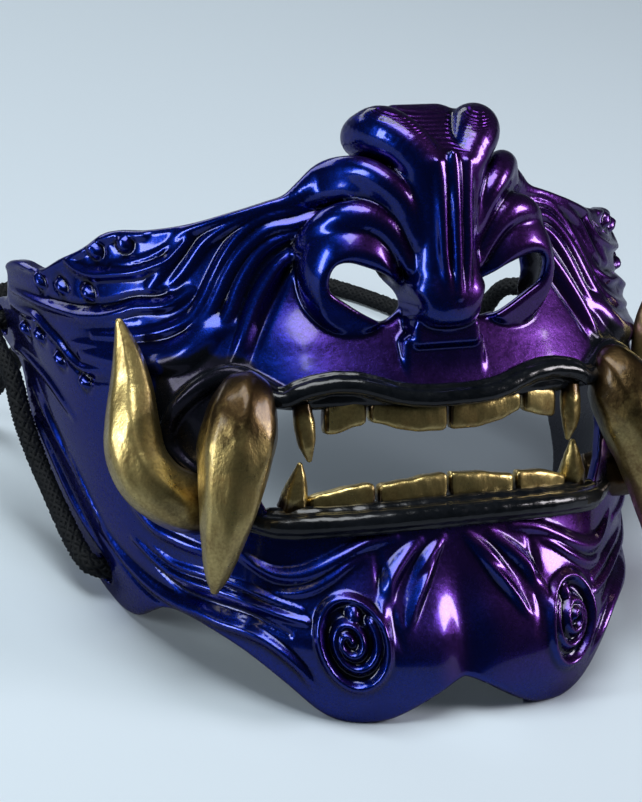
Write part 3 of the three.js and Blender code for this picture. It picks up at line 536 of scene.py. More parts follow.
def makeGoldPaint():                         # antique gold rubbed over a brown wash
    f = goldFinish
    material, tree, shader, link = newMaterial("goldPaint")
    place = addNode(tree, "ShaderNodeTexCoord").outputs["Object"]
    wear = useGroup(tree, wearGroup, {"Blotch Scale": 130.0, "Grain Scale": 1500.0, "Grain Share": 0.35})
    tone = rampNode(tree, [(0.30, f["dull"]), (0.60, f["bright"])])
    link(wear.outputs["Mask"], tone.inputs["Fac"])
    smear = combine(tree, "MULTIPLY_ADD", addNoise(tree, place, 260.0, 5.0, 0.7), 0.8, -0.40)
    wash = combine(tree, "ADD", readShade(tree, "root"), smear)
    washShare = layOut(tree, wash, 0.0, f["washShare"], 0.28, 0.80, smooth=True)
    link(mixColour(tree, washShare, tone.outputs["Color"], f["wash"]), shader.inputs["Base Color"])
    link(layOut(tree, wear.outputs["Mask"], 0.42, 0.24, 0.3, 0.7), shader.inputs["Roughness"])
    drawn = addNode(tree, "ShaderNodeMapping", None, {"Scale": f["drawnOut"]})
    link(place, drawn.inputs["Vector"])
    lumps = addNoise(tree, drawn.outputs["Vector"], 420.0, 5.0, 0.62)
    link(addBump(tree, lumps, 0.35, 0.0005), shader.inputs["Normal"])
    shader.inputs["Metallic"].default_value = f["metal"]
    shader.inputs["Coat Weight"].default_value = f["coat"]
    shader.inputs["Coat Roughness"].default_value = f["coatRough"]
    return material


lipFinish = {
    "black": (0.002, 0.003, 0.004, 1),
    "grey": (0.010, 0.012, 0.016, 1),
    "specular": 0.25,
    "coat": 0.42,
    "coatRough": 0.05,
}


def makeLipPaint():                          # wet-looking black
    f = lipFinish
    material, tree, shader, link = newMaterial("lipPaint")
    place = addNode(tree, "ShaderNodeTexCoord").outputs["Object"]
    wear = useGroup(tree, wearGroup, {"Blotch Scale": 120.0, "Grain Scale": 1100.0, "Grain Share": 0.3})
    tone = rampNode(tree, [(0.35, f["black"]), (0.75, f["grey"])])
    link(wear.outputs["Mask"], tone.inputs["Fac"])
    link(tone.outputs["Color"], shader.inputs["Base Color"])
    link(layOut(tree, wear.outputs["Mask"], 0.14, 0.28, 0.3, 0.7), shader.inputs["Roughness"])
    brushed = addNoise(tree, place, 380.0, 4.0, 0.6)
    link(addBump(tree, brushed, 0.35, 0.0006), shader.inputs["Normal"])
    shader.inputs["Specular IOR Level"].default_value = f["specular"]
    shader.inputs["Coat Weight"].default_value = f["coat"]
    shader.inputs["Coat Roughness"].default_value = f["coatRough"]
    return material


cordFinish = {
    "black": (0.004, 0.005, 0.006, 1),
    "worn": (0.008, 0.010, 0.012, 1),
    "rough": 0.55,
    "specular": 0.18,
    "sheen": 0.02,
    "sheenRough": 0.4,
    "yarnScale": 3600.0,
}


def makeCordCloth():                         # woven synthetic braid
    f = cordFinish
    material, tree, shader, link = newMaterial("cordBraid")
    place = addNode(tree, "ShaderNodeTexCoord").outputs["Object"]
    wear = useGroup(tree, wearGroup, {"Blotch Scale": 200.0, "Grain Scale": 5200.0, "Grain Share": 0.6})
    tone = rampNode(tree, [(0.35, f["black"]), (0.7, f["worn"])])
    link(wear.outputs["Mask"], tone.inputs["Fac"])
    link(tone.outputs["Color"], shader.inputs["Base Color"])
    yarn = addNoise(tree, place, f["yarnScale"], 2.0)
    link(addBump(tree, yarn, 0.5, 0.0002), shader.inputs["Normal"])
    shader.inputs["Roughness"].default_value = f["rough"]
    shader.inputs["Specular IOR Level"].default_value = f["specular"]
    shader.inputs["Sheen Weight"].default_value = f["sheen"]
    shader.inputs["Sheen Roughness"].default_value = f["sheenRough"]
    return material


bodyPaint = makeBodyPaint()
goldPaint = makeGoldPaint()
lipPaint = makeLipPaint()
cordCloth = makeCordCloth()
print("finishes made")

cord, cordLength = makeBraid("cordBraid", cordRoute, cordFacts, cordCloth)


knotShape = {
    "points": 120,
    "squash": (0.86, 0.86, 1.0),
    "scale": 0.95,
    "cordRadius": 1.5,
    "sides": 16,
    "inward": 10.87,         # from the middle of the jaw's wall
}


def makeKnot(name, side, material):          # a small overhand knot, drawn tight
    k = knotShape
    t = np.linspace(0, 2 * math.pi, k["points"], endpoint=False)
    out = 2 + np.cos(3 * t)
    line = np.stack([out * np.cos(2 * t), out * np.sin(2 * t), np.sin(3 * t)], -1)
    line = line * k["squash"] * k["scale"]
    line = np.stack([line[:, 2], line[:, 0], line[:, 1]], -1)
    line = np.concatenate([line, line[:3]])
    middle = toWorld(jawMiddle + [k["inward"], 0, 0]) * 1000
    middle = middle * [1 if side < 0 else -1, 1, 1]

    def ribs(t, a):
        return 1 + 0.05 * np.sin(8 * a + 160 * t)
    rings = tubeRings(line, np.full(len(line), k["cordRadius"]), k["sides"], ribs)
    vertices = rings.reshape(-1, 3) + middle
    return makeMesh(name, vertices / 1000, ringFaces(len(line), k["sides"]), material)


knotRight = makeKnot("knotRight", -1, cordCloth)
knotLeft = makeKnot("knotLeft", 1, cordCloth)
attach(cord, "root")
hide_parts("cord")
for knot, node in ((knotRight, "cord_knot_right"), (knotLeft, "cord_knot_left")):
    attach(knot, "root")
    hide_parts(node)
print("cord laid,", round(cordLength * 1000), "mm")

# relief of the face. Lines are (turn, z, up, half): up = height of the ridge, half = its half width
cheekStrands = [
    [(13, 52.6, 0.4, 1.2), (18, 52.3, 1.1, 1.7), (22, 51.5, 1.4, 1.8), (26, 49.9, 1.5, 1.8),
     (31, 47.7, 1.5, 1.9), (35, 46, 1.3, 1.8), (40, 43.5, 0.8, 1.6), (43, 40.5, 0.2, 1.2)],
    [(13, 50, 0.4, 1.0), (20, 50, 1.0, 1.3), (25, 48.9, 1.2, 1.4), (29, 46.8, 1.3, 1.5), (33, 44.4, 1.2, 1.5),
     (36.5, 41.5, 1.0, 1.4), (40, 36.5, 0.7, 1.3), (44, 31.5, 0.3, 1.0)],
    [(15, 47.5, 0.5, 1.2), (18, 46.5, 1.2, 1.6), (21, 45.2, 1.5, 1.7), (25, 44.3, 1.5, 1.7),
     (28, 42, 1.5, 1.7), (30.6, 39, 1.4, 1.7), (33, 35, 1.3, 1.7), (35, 31, 1.2, 1.6),
     (37.5, 27, 1.0, 1.5), (41, 23.6, 0.8, 1.4)],
    [(18, 48.5, 0.5, 1.0), (22, 47.7, 1.0, 1.2), (26, 46.6, 1.1, 1.2), (28.5, 45, 1.1, 1.3),
     (31.2, 42, 1.1, 1.4), (33.6, 38, 1.1, 1.4), (35.6, 34, 1.0, 1.4), (38, 29.6, 1.0, 1.4),
     (41, 26, 1.0, 1.4), (46, 23.6, 1.0, 1.3), (51, 22.4, 0.9, 1.2), (56, 21.7, 0.8, 1.1),
     (64, 21, 0.4, 0.9)],
    [(17, 44, 0.5, 1.0), (20, 43.5, 1.0, 1.3), (24, 42, 1.2, 1.4), (27, 39.6, 1.2, 1.5), (29.4, 36, 1.2, 1.5),
     (31.4, 32, 1.1, 1.5), (33.4, 27.5, 1.0, 1.4), (36, 23.6, 0.7, 1.3)],
    [(18.5, 41.3, 0.6, 1.2), (21, 39.7, 1.2, 1.6), (24, 36.8, 1.5, 1.7), (26, 33.8, 1.6, 1.8),
     (28, 30.3, 1.6, 1.8), (29.8, 26.6, 1.5, 1.7), (31.4, 23, 1.3, 1.6), (33.2, 19.6, 0.8, 1.4),
     (35, 17, 0.2, 1.0)],
    [(41, 43.2, 0.3, 1.1), (42.5, 39, 0.9, 1.4), (45, 35.5, 0.8, 1.4), (48, 32, 0.4, 1.2)],
    [(34, 25.5, 0.4, 2.0), (37.5, 24, 1.4, 2.8), (41, 20.8, 1.9, 3.2), (46, 18.1, 1.9, 3.3),
     (54, 16.9, 1.7, 3.2), (62, 16.4, 1.2, 2.8), (69, 16.2, 0.5, 2.0)],
    [(52, 24.9, 0.2, 0.7), (58, 24.2, 0.5, 0.8), (66, 23.8, 0.5, 0.8), (73, 23.6, 0.2, 0.7)],
    [(54, 19.6, 0.2, 0.7), (60, 19.3, 0.5, 0.8), (67, 19.0, 0.5, 0.8), (72, 18.6, 0.2, 0.7)],
]
bandRims = [
    [(39, 45, 0.3, 1.0), (39.8, 42, 0.9, 1.2), (43, 38, 1.3, 1.4), (46, 36.4, 1.5, 1.5), (50, 35, 1.6, 1.5),
     (55, 34.3, 1.6, 1.5), (60, 33.9, 1.6, 1.5), (64, 34.9, 1.3, 1.4), (67, 37, 0.6, 1.2)],
    [(41, 42.4, 0.2, 0.7), (44, 40, 0.6, 0.8), (47, 38.2, 0.7, 0.9), (51, 36.9, 0.7, 0.9),
     (55, 36.2, 0.3, 0.8)],
    [(40, 31.4, 0.3, 1.0), (43, 29.4, 1.0, 1.3), (46, 28.2, 1.3, 1.4), (51.5, 27.7, 1.4, 1.5),
     (55, 26.6, 1.5, 1.5), (58, 25.8, 1.5, 1.5), (61, 25.3, 1.4, 1.5), (65.5, 25, 1.4, 1.5),
     (69, 25.3, 1.4, 1.4), (73.5, 25.8, 1.3, 1.4), (78.5, 26.3, 1.2, 1.3), (84, 27, 1.0, 1.2),
     (90, 27.6, 0.5, 1.0)],
    [(93, 24.2, 0.4, 1.0), (88, 23.5, 0.9, 1.3), (82, 23.2, 1.2, 1.4), (79.4, 22, 1.3, 1.4),
     (77.3, 20.2, 1.3, 1.4), (75, 18.4, 1.3, 1.4), (73.8, 16.6, 1.3, 1.4), (72, 14.7, 1.3, 1.4),
     (69.5, 13.8, 1.2, 1.4), (64.5, 14.2, 0.8, 1.2), (60, 14.6, 0.2, 1.0)],
    [(92, 32, 0.4, 1.2), (88, 33, 1.0, 1.5), (83, 34, 1.1, 1.5), (79.5, 33.7, 1.1, 1.5), (75, 33.2, 1.0, 1.5),
     (71.5, 34.3, 0.9, 1.4), (66.5, 36.6, 0.7, 1.4), (61, 39.2, 0.8, 1.5), (56, 41.8, 0.9, 1.5),
     (48, 42.8, 0.7, 1.4)],
    [(105, 12.6, 0.5, 1.2), (99, 13.5, 0.9, 1.5), (92, 12.5, 1.0, 1.6), (86, 9.5, 0.9, 1.6),
     (81, 5.5, 0.6, 1.4), (77, 2, 0.2, 1.2)],
]
jawLines = [
    [(78, -20, 0.3, 1.4), (74, -26.3, 1.1, 1.9), (69.5, -30.4, 1.5, 2.1), (65, -33, 1.7, 2.1),
     (59.7, -34.8, 1.7, 2.1), (54.6, -35.7, 1.7, 2.0), (50, -37, 1.7, 2.0), (44, -38.2, 1.7, 2.0),
     (39.7, -39.9, 1.6, 1.9), (36.3, -42.3, 1.5, 1.8), (33, -45.6, 1.2, 1.6), (31, -49, 0.4, 1.2)],
    [(66.7, -22.5, 0.4, 1.3), (62, -26.2, 1.2, 1.6), (58.3, -28.3, 1.5, 1.6), (54.3, -29.4, 1.6, 1.6),
     (50.6, -30.1, 1.6, 1.6), (47.3, -30.6, 1.6, 1.6), (43, -31.6, 1.6, 1.6), (39.5, -32.8, 1.5, 1.5),
     (34, -34.4, 1.3, 1.4), (29.5, -35.4, 0.7, 1.2)],
    [(62, -23.2, 0.3, 1.0), (57, -26.3, 0.8, 1.1), (50, -27.6, 0.9, 1.2), (43, -28.9, 1.0, 1.2),
     (36, -31.3, 0.9, 1.2), (30, -33.2, 0.4, 1.0)],
    [(64, -14.5, 0.3, 1.4), (59.6, -18.8, 1.1, 1.7), (55.7, -20.4, 1.2, 1.8), (50, -22.2, 1.0, 1.7),
     (44, -23.4, 0.5, 1.4)],
    [(41, -21.5, 0.3, 1.2), (37, -24.6, 1.1, 1.7), (33, -26.4, 1.5, 1.9), (28, -26.2, 1.6, 2.0),
     (23, -24.4, 1.5, 1.9), (18.5, -22.2, 1.3, 1.8), (14, -20.2, 1.0, 1.7), (9, -19.2, 0.4, 1.4)],
    [(35, -30.0, 0.2, 0.9), (31, -30.0, 0.8, 1.2), (26.5, -28.9, 1.1, 1.3), (22, -26.6, 1.1, 1.3),
     (18.5, -24.4, 0.9, 1.2), (15, -22.6, 0.3, 1.0)],
    [(1.4, -20.4, 0.3, 1.4), (3.8, -24.3, 1.6, 2.2), (5.9, -28.5, 2.1, 2.4), (7.9, -32.5, 1.6, 2.3),
     (9.4, -36.8, 0.3, 1.6)],
    [(5.0, -20.4, 0.3, 1.4), (8.6, -24.2, 1.4, 2.0), (11.6, -28.2, 1.7, 2.2), (13.2, -33.0, 1.0, 2.0),
     (13.6, -38.0, 0.2, 1.4)],
    [(98, -2, 0.2, 1.4), (92, -5, 0.9, 2.0), (87.5, -14, 1.1, 2.2), (84, -22, 1.0, 2.0),
     (81.5, -28, 0.3, 1.4)],
    [(94, 6, 0.2, 1.2), (87, -1, 0.7, 1.7), (82, -9, 0.9, 1.8), (78.5, -17, 0.9, 1.8), (75.5, -24, 0.3, 1.4)],
]
creases = [
    [(20.5, 38, 0.2, 0.9), (22.4, 35.6, 0.7, 1.2), (24.2, 31.6, 0.9, 1.3), (26.2, 27.6, 0.9, 1.3),
     (28.2, 23.6, 0.8, 1.3), (30, 19.8, 0.6, 1.2), (31.5, 16.5, 0.2, 1.0)],
    [(41, 33.6, 0.2, 1.0), (46, 30.4, 0.7, 1.1), (52, 29.6, 0.7, 1.1), (58, 28.0, 0.7, 1.1),
     (66, 27.2, 0.6, 1.0), (74, 27.8, 0.3, 1.0)],
    [(62, 12.2, 0.2, 0.9), (69.5, 11.6, 0.5, 1.0), (74.6, 14.4, 0.5, 1.0), (78, 18.2, 0.4, 1.0),
     (82, 20.8, 0.2, 0.9)],
    [(79, -24, 0.2, 1.0), (72, -32.6, 0.7, 1.3), (64, -36.2, 0.5, 1.1), (56, -38, 0.2, 1.0)],
    [(66, -24.8, 0.2, 0.8), (58, -31.4, 0.7, 1.1), (50, -33.4, 0.8, 1.2), (42, -35.0, 0.8, 1.2),
     (34, -38.2, 0.5, 1.0)],
    [(2.6, -23, 0.2, 0.9), (5.6, -27.2, 0.9, 1.2), (8.2, -31.5, 0.8, 1.2), (10, -36, 0.2, 1.0)],
    [(12.6, -22.6, 0.3, 1.4), (13.0, -28, 0.6, 1.8), (12.6, -34, 0.6, 1.8), (11.2, -41, 0.2, 1.4)],
    [(90, 8, 0.2, 0.9), (84.5, -3, 0.7, 1.1), (80.4, -13, 0.8, 1.1), (77.4, -21, 0.5, 1.0)],
]
studs = {
    "domeRadius": 1.75, "domeUp": 1.5, "dishRadius": 3.1, "dishDeep": 0.55,
    "spots": [(58.5, 38.8), (52, 40.5), (76, 31), (69.5, 30.6), (62.5, 29.9), (88, 19.5), (82.5, 18.9),
              (78, 14.4), (71.5, 10.9)],
}
curl = {
    "turn": 20.5, "z": -40.0, "wide": 8.0, "high": 9.3, "deep": 1.5,
    "spiralTurns": 2.1, "spiralFrom": 6.2, "spiralTo": 0.9, "ridge": 1.5, "ridgeHalf": 1.15,
    "spiralStart": 2.4, "driftArc": 1.3, "driftZ": 0.6, "tall": 1.1,     # the spiral's first angle and drift
    "rimUp": 1.1, "rimHalf": 1.25,
    "dropArc": -1.2, "dropZ": 6.2, "dropRadius": 2.0, "dropUp": 1.6,     # the bead above the spiral
}
chin = {
    "turn": 18.5, "z": -41.0, "wide": 9.5, "high": 10.0, "up": 3.0,      # a swelling under each curl
    "valleyWide": 3.6, "valleyHigh": 9.0, "valleyDeep": 2.2,             # and a hollow between them
}
mapStep = 0.25
mapArc = np.arange(0, arcOf(118.0), mapStep)
mapZ = np.arange(-64, 77, mapStep)
arcGrid, zGrid = np.meshgrid(mapArc, mapZ, indexing="ij")


def raiseLine(relief, line, sharp):          # lifts the map along a line given in mm: (arc, z, up, half)
    line = np.asarray(line, float)
    for a, b in zip(line[:-1], line[1:]):
        reach = max(a[3], b[3])
        i0 = max(0, int((min(a[0], b[0]) - reach) / mapStep))
        i1 = min(len(mapArc), int((max(a[0], b[0]) + reach) / mapStep) + 2)
        j0 = max(0, int((min(a[1], b[1]) - reach - mapZ[0]) / mapStep))
        j1 = min(len(mapZ), int((max(a[1], b[1]) + reach - mapZ[0]) / mapStep) + 2)
        s, z = arcGrid[i0:i1, j0:j1], zGrid[i0:i1, j0:j1]
        run = b[:2] - a[:2]
        t = np.clip(((s - a[0]) * run[0] + (z - a[1]) * run[1]) / max(run.dot(run), 1e-9), 0, 1)
        far = np.hypot(s - a[0] - t * run[0], z - a[1] - t * run[1])
        half = a[3] + t * (b[3] - a[3])
        up = a[2] + t * (b[2] - a[2])
        shape = np.clip(1 - (far / half) ** 2, 0, 1) ** sharp
        relief[i0:i1, j0:j1] = np.maximum(relief[i0:i1, j0:j1], up * shape)


def lineInMm(rows):
    rows = np.array(rows, float)
    rows[:, 0] = arcOf(rows[:, 0])
    return smoothPath(np.concatenate([rows[:, :2], 0 * rows[:, :1], rows[:, 2:]], 1), 5)[:, [0, 1, 3, 4]]


def blurMap(values, sigma):                  # gaussian blur, sigma in millimetres
    reach = int(3 * sigma / mapStep) + 1
    weights = np.exp(-0.5 * (np.arange(-reach, reach + 1) * mapStep / sigma) ** 2)
    weights /= weights.sum()
    for axis in (0, 1):
        padded = np.pad(values, [(reach, reach) if k == axis else (0, 0) for k in (0, 1)], mode="edge")
        total = np.zeros_like(values)
        for k, w in enumerate(weights):
            part = padded[k:k + values.shape[0], :] if axis == 0 else padded[:, k:k + values.shape[1]]
            total += w * part
        values = total
    return values


def makeReliefMap():
    up = np.zeros_like(arcGrid)
    for rows in cheekStrands:
        raiseLine(up, lineInMm(rows), 1.0)
    for rows in bandRims + jawLines:
        raiseLine(up, lineInMm(rows), 1.4)
    down = np.zeros_like(arcGrid)
    for rows in creases:
        raiseLine(down, lineInMm(rows), 1.4)
    relief = up - down
    for turn, z in studs["spots"]:
        far = np.hypot(arcGrid - arcOf(turn), zGrid - z)
        relief -= studs["dishDeep"] * np.clip(1 - (far / studs["dishRadius"]) ** 2, 0, 1)
        dome = np.sqrt(np.clip(1 - (far / studs["domeRadius"]) ** 2, 0, 1))
        relief += (studs["domeUp"] + studs["dishDeep"]) * dome
    # the chin's curl: a dished oval with a ring round it and a spiral inside
    u, w = arcGrid - arcOf(curl["turn"]), zGrid - curl["z"]
    oval = np.hypot(u / curl["wide"], w / curl["high"])
    dish = 1 - np.clip((oval - 0.72) / 0.25, 0, 1)
    relief = relief * (1 - dish) - curl["deep"] * dish
    mapped = np.zeros_like(relief)
    curlArc = arcOf(curl["turn"])
    ring = [(curlArc + curl["wide"] * math.cos(a), curl["z"] + curl["high"] * math.sin(a),
             curl["rimUp"], curl["rimHalf"]) for a in np.linspace(0, 2 * math.pi, 48)]
    raiseLine(mapped, ring, 1.2)
    spiral = []
    for s in np.linspace(0, 1, 70):
        a = curl["spiralStart"] + s * curl["spiralTurns"] * 2 * math.pi
        far = curl["spiralFrom"] + (curl["spiralTo"] - curl["spiralFrom"]) * s ** 0.8
        spiral.append((curlArc + curl["driftArc"] * s + far * math.cos(a),
                       curl["z"] + curl["driftZ"] * s + curl["tall"] * far * math.sin(a),
                       curl["ridge"], curl["ridgeHalf"] * (1 - 0.25 * s)))
    raiseLine(mapped, spiral, 1.0)
    drop = np.hypot(u - curl["dropArc"], w - curl["dropZ"])
    mapped = np.maximum(mapped, curl["dropUp"] * np.clip(1 - (drop / curl["dropRadius"]) ** 2, 0, 1))
    swell = ((arcGrid - arcOf(chin["turn"])) / chin["wide"]) ** 2 + ((zGrid - chin["z"]) / chin["high"]) ** 2
    valley = (arcGrid / chin["valleyWide"]) ** 2 + ((zGrid - chin["z"]) / chin["valleyHigh"]) ** 2
    body = chin["up"] * np.exp(-0.5 * swell) - chin["valleyDeep"] * np.exp(-0.5 * valley)
    return blurMap(relief + mapped, 0.30) + body


reliefMap = makeReliefMap()


def readGrid(values, i, j):                  # a grid's value between its points
    i = np.clip(i, 0, values.shape[0] - 1.001)
    j = np.clip(j, 0, values.shape[1] - 1.001)
    i0, j0 = i.astype(int), j.astype(int)
    fi, fj = i - i0, j - j0
    return (values[i0, j0] * (1 - fi) * (1 - fj) + values[i0 + 1, j0] * fi * (1 - fj)
            + values[i0, j0 + 1] * (1 - fi) * fj + values[i0 + 1, j0 + 1] * fi * fj)


def readMap(values, arc, z):
    return readGrid(values, arc / mapStep, (z - mapZ[0]) / mapStep)


def makeEdgeMap():                           # distance outside the shell's outline, along the face
    turns = np.linspace(0, 118, 700)
    arcs = arcOf(turns)
    low = np.interp(mapArc, arcs, smoothRead(*zip(*lowerEdge), turns))
    high = np.interp(mapArc, arcs, smoothRead(*zip(*upperEdge), turns))
    lowSlope = np.sqrt(1 + np.clip(np.gradient(low, mapStep), -6, 6) ** 2)
    highSlope = np.sqrt(1 + np.clip(np.gradient(high, mapStep), -6, 6) ** 2)
    above = (zGrid - high[:, None]) / highSlope[:, None]
    below = (low[:, None] - zGrid) / lowSlope[:, None]
    return np.maximum(np.maximum(above, below), arcGrid - arcOf(float(backEnd)))


edgeMap = makeEdgeMap()


def blendMin(a, b, k):
    h = np.clip(0.5 + 0.5 * (b - a) / k, 0, 1)
    return b + (a - b) * h - k * h * (1 - h)


def blendMax(a, b, k):
    return -blendMin(-a, -b, k)


def outlineDistance(outline, x, z):          # signed distance to a closed outline, negative inside
    outline = np.asarray(outline, float)
    best = np.full(x.shape, 1e9)
    inside = np.zeros(x.shape, bool)
    for a, b in zip(outline, np.roll(outline, -1, axis=0)):
        run = b - a
        t = np.clip(((x - a[0]) * run[0] + (z - a[1]) * run[1]) / run.dot(run), 0, 1)
        best = np.minimum(best, np.hypot(x - a[0] - t * run[0], z - a[1] - t * run[1]))
        crosses = (a[1] > z) != (b[1] > z)
        with np.errstate(divide="ignore", invalid="ignore"):
            inside ^= crosses & (x < a[0] + (z - a[1]) * run[0] / (run[1] if run[1] else 1e-12))
    return np.where(inside, -best, best)


def roundedOutline(points):                  # closed outline with its corners rounded off
    points = np.asarray(points, float)
    count = len(points)
    perSpan, extra = 6, 3
    line = smoothPath(np.concatenate([points[-extra:], points, points[:extra]]), perSpan)
    return line[extra * perSpan:(extra + count) * perSpan]


frontStep = 0.25
frontX = np.arange(0, 48, frontStep)
frontZ = np.arange(-22, 46, frontStep)
frontGridX, frontGridZ = np.meshgrid(frontX, frontZ, indexing="ij")
nostrilPoints = [(24.9, 35.2), (23.9, 37.4), (21.4, 38), (17.9, 37.1), (12.9, 35), (7.9, 31.1),
                 (6.9, 27.8), (9.4, 25.6), (12, 24.8), (16, 26.4), (21, 29.5), (24.4, 32)]
mouthPoints = [(0, 9.6), (6, 9.8), (11, 10.5), (16, 11.6), (22, 12.3), (28, 12.0), (33, 10.8), (37, 9.4),
               (40.5, 5.5), (41.2, -2), (40.5, -9), (38.5, -13.4), (32, -15.6), (16, -15.0), (0, -14.4)]
nostrilMap = outlineDistance(roundedOutline(nostrilPoints), frontGridX, frontGridZ)
wholeMouth = [*mouthPoints, *[(-x, z) for x, z in mouthPoints[-2:0:-1]]]
mouthMap = outlineDistance(wholeMouth, frontGridX, frontGridZ)


def readFront(values, x, z):
    past = np.maximum(x - frontX[-1], 0) + np.maximum(z - frontZ[-1], 0) + np.maximum(frontZ[0] - z, 0)
    return readGrid(values, x / frontStep, (z - frontZ[0]) / frontStep) + past


def rodDistance(p, rods):                    # distance to a chain of tapered rods (x, y, z, radius)
    best = np.full(len(p), 1e9)
    for a, b in zip(rods[:-1], rods[1:]):
        run = b[:3] - a[:3]
        t = np.clip((p - a[:3]) @ run / run.dot(run), 0, 1)
        far = np.linalg.norm(p - a[:3] - t[:, None] * run, axis=1)
        best = np.minimum(best, far - (a[3] + t * (b[3] - a[3])))
    return best


# nose: a block with one row per height, lobes beside it and a round wing over each nostril
noseRows = [
    {"z": 23.5, "half": 4.5, "front": 1.5}, {"z": 25.0, "half": 7.0, "front": -1.6},
    {"z": 28.0, "half": 8.2, "front": -3.0}, {"z": 34.0, "half": 8.4, "front": -3.0},
    {"z": 42.0, "half": 7.8, "front": -2.4}, {"z": 50.0, "half": 9.0, "front": -2.0},
    {"z": 57.0, "half": 10.8, "front": -1.6}, {"z": 60.0, "half": 11.4, "front": -0.2},
    {"z": 64.0, "half": 11.2, "front": 6.5}, {"z": 67.5, "half": 9.5, "front": 12.0},
    {"z": 69.5, "half": 6.5, "front": 15.5},
]
noseHeights = [r["z"] for r in noseRows]
noseFine = {k: smoothRead(noseHeights, [r[k] for r in noseRows], fineZ) for k in ("half", "front")}
noseLobes = {
    "knob": [(4.3, 2.4, 58.1, 3.6), (7.9, 6, 62.1, 5), (10.6, 11, 64.2, 5.6), (11.9, 16, 63.5, 5),
             (11.7, 20, 62.6, 4.4)],
    "upper": [(6.1, 2.2, 43.8, 1.2), (7.8, 2.6, 47.7, 2), (10.5, 3.2, 51.7, 2.6), (13.2, 5, 54.6, 3),
              (15.8, 8.5, 56.2, 3.2), (18.4, 13, 56.1, 3.4), (20.7, 18, 54.6, 3.4),
              (24.5, 19.6, 51.6, 2.8), (28.8, 21.2, 48.4, 1.8)],
    "lower": [(6.7, 2.8, 41.4, 1), (8.6, 3.6, 45.4, 1.6), (11.2, 5, 49, 2), (14.3, 7, 51.5, 2.2),
              (17.7, 10, 52.5, 2.3), (20.5, 14, 52.1, 2.3), (22.9, 19, 50.9, 2.2)],
    "roll": [(8.1, 3.6, 37, 1.4), (10.2, 4.4, 41.2, 2.4), (12.9, 5.2, 44.9, 3.2), (16.3, 6.5, 46.8, 3.8),
             (19.9, 8.5, 46.3, 4.2), (22.9, 11.5, 44.4, 4.2), (24.6, 15, 40.9, 4), (25, 19, 35.9, 3.6)],
}
lobeBlend = 0.9              # how softly the lobes run into each other
browBlend = 2.4
noseBlock = {"back": 19.5, "backInside": 26.0, "bottom": 23.5, "top": 69.5, "topSlope": 0.8, "leastHalf": 1.2}
wing = {
    "middle": (18.0, 11.5, 35.0), "size": (11.2, 10.4, 13.6),
    "faceSpot": (18.0, 4.0, 33.0), "faceWay": (0.18, -0.94, -0.29),       # the flat ring round the nostril
}
noseRidges = [
    [(0, -1, 60, 0.9), (0, -2.4, 51.5, 1.0), (0, -3, 44, 1.0), (0, -3.6, 37, 0.9), (0, -3.9, 31, 0.6)],
    [(3.5, -0.9, 58.5, 0.8), (3.0, -1.7, 50.5, 0.9), (2.9, -2.2, 45, 0.9), (2.8, -2.7, 39.5, 0.8),
     (2.0, -3.1, 33, 0.6), (1.2, -2.9, 29, 0.4)],
]
noseTip = {"middle": (0, 1.8, 30.5), "size": (8.8, 6.0, 6.6)}
noseRods = {k: smoothPath(rows, 5) for k, rows in noseLobes.items()}
ridgeRods = [smoothPath(rows, 4) for rows in noseRidges]
philtrum = [((0, 4.9, 22.6), (7.6, 3.9, 2.7)), ((0, 6.2, 16.2), (9.4, 3.8, 5.8))]
noseSquareness = 2.6


def boxDistance(p, middle, size, radius):
    q = np.abs(p - np.array(middle)) - (np.array(size) - radius)
    return np.linalg.norm(np.maximum(q, 0), axis=1) + np.minimum(q.max(axis=1), 0) - radius


def ballDistance(p, middle, size):
    size = np.array(size, float)
    k = np.linalg.norm((p - np.array(middle)) / size, axis=1)
    g = np.linalg.norm((p - np.array(middle)) / size ** 2, axis=1)
    return k * (k - 1) / np.maximum(g, 1e-6)


def noseDistance(p, inset):                  # p already has x >= 0
    half = np.maximum(np.interp(p[:, 2], fineZ, noseFine["half"]) - inset, noseBlock["leastHalf"])
    front = np.interp(p[:, 2], fineZ, noseFine["front"]) + inset
    back = noseBlock["backInside"] if inset > 0 else noseBlock["back"]
    middle, deep = (front + back) / 2, (back - front) / 2
    acrossShare = np.abs(p[:, 0]) / half
    forwardShare = np.abs(p[:, 1] - middle) / deep
    n = noseSquareness
    share = np.maximum((acrossShare ** n + forwardShare ** n) ** (1 / n), 1e-3)
    grade = np.sqrt((acrossShare ** (n - 1) / half) ** 2 + (forwardShare ** (n - 1) / deep) ** 2)
    grade = grade * share ** (1 - n)
    side = (share - 1) / np.maximum(grade, 0.05)
    top = (p[:, 2] - (noseBlock["top"] - inset)) * noseBlock["topSlope"]
    bottom = (noseBlock["bottom"] + inset) - p[:, 2]
    return blendMax(blendMax(side, top, 1.5), bottom, 1.5)


def faceField(p):                            # distance to the bare face, turn and arc of the nearest spot
    x, y, z = np.abs(p[:, 0]), p[:, 1], p[:, 2]

    def share(zz):
        half, front, depth, power = faceAt(zz)
        a = x / half
        b = np.maximum((front + depth - y) / depth, 0)
        return (a ** power + b ** power) ** (1 / power), a, b, half, front, depth, power
    q, a, b, half, front, depth, power = share(z)
    qUp = share(z + 0.5)[0]
    safe = np.maximum(q, 1e-4)
    gx = (a / safe) ** (power - 1) / half
    gy = (b / safe) ** (power - 1) / depth
    gz = (qUp - q) / 0.5
    distance = (q - 1) / np.sqrt(gx ** 2 + gy ** 2 + gz ** 2 + 1e-9)
    turn = np.degrees(np.arctan2((a / safe) ** (power / 2), (b / safe) ** (power / 2)))
    turn = np.where(y > front + depth, 90 + y - front - depth, turn)
    return distance, turn, arcOf(turn)


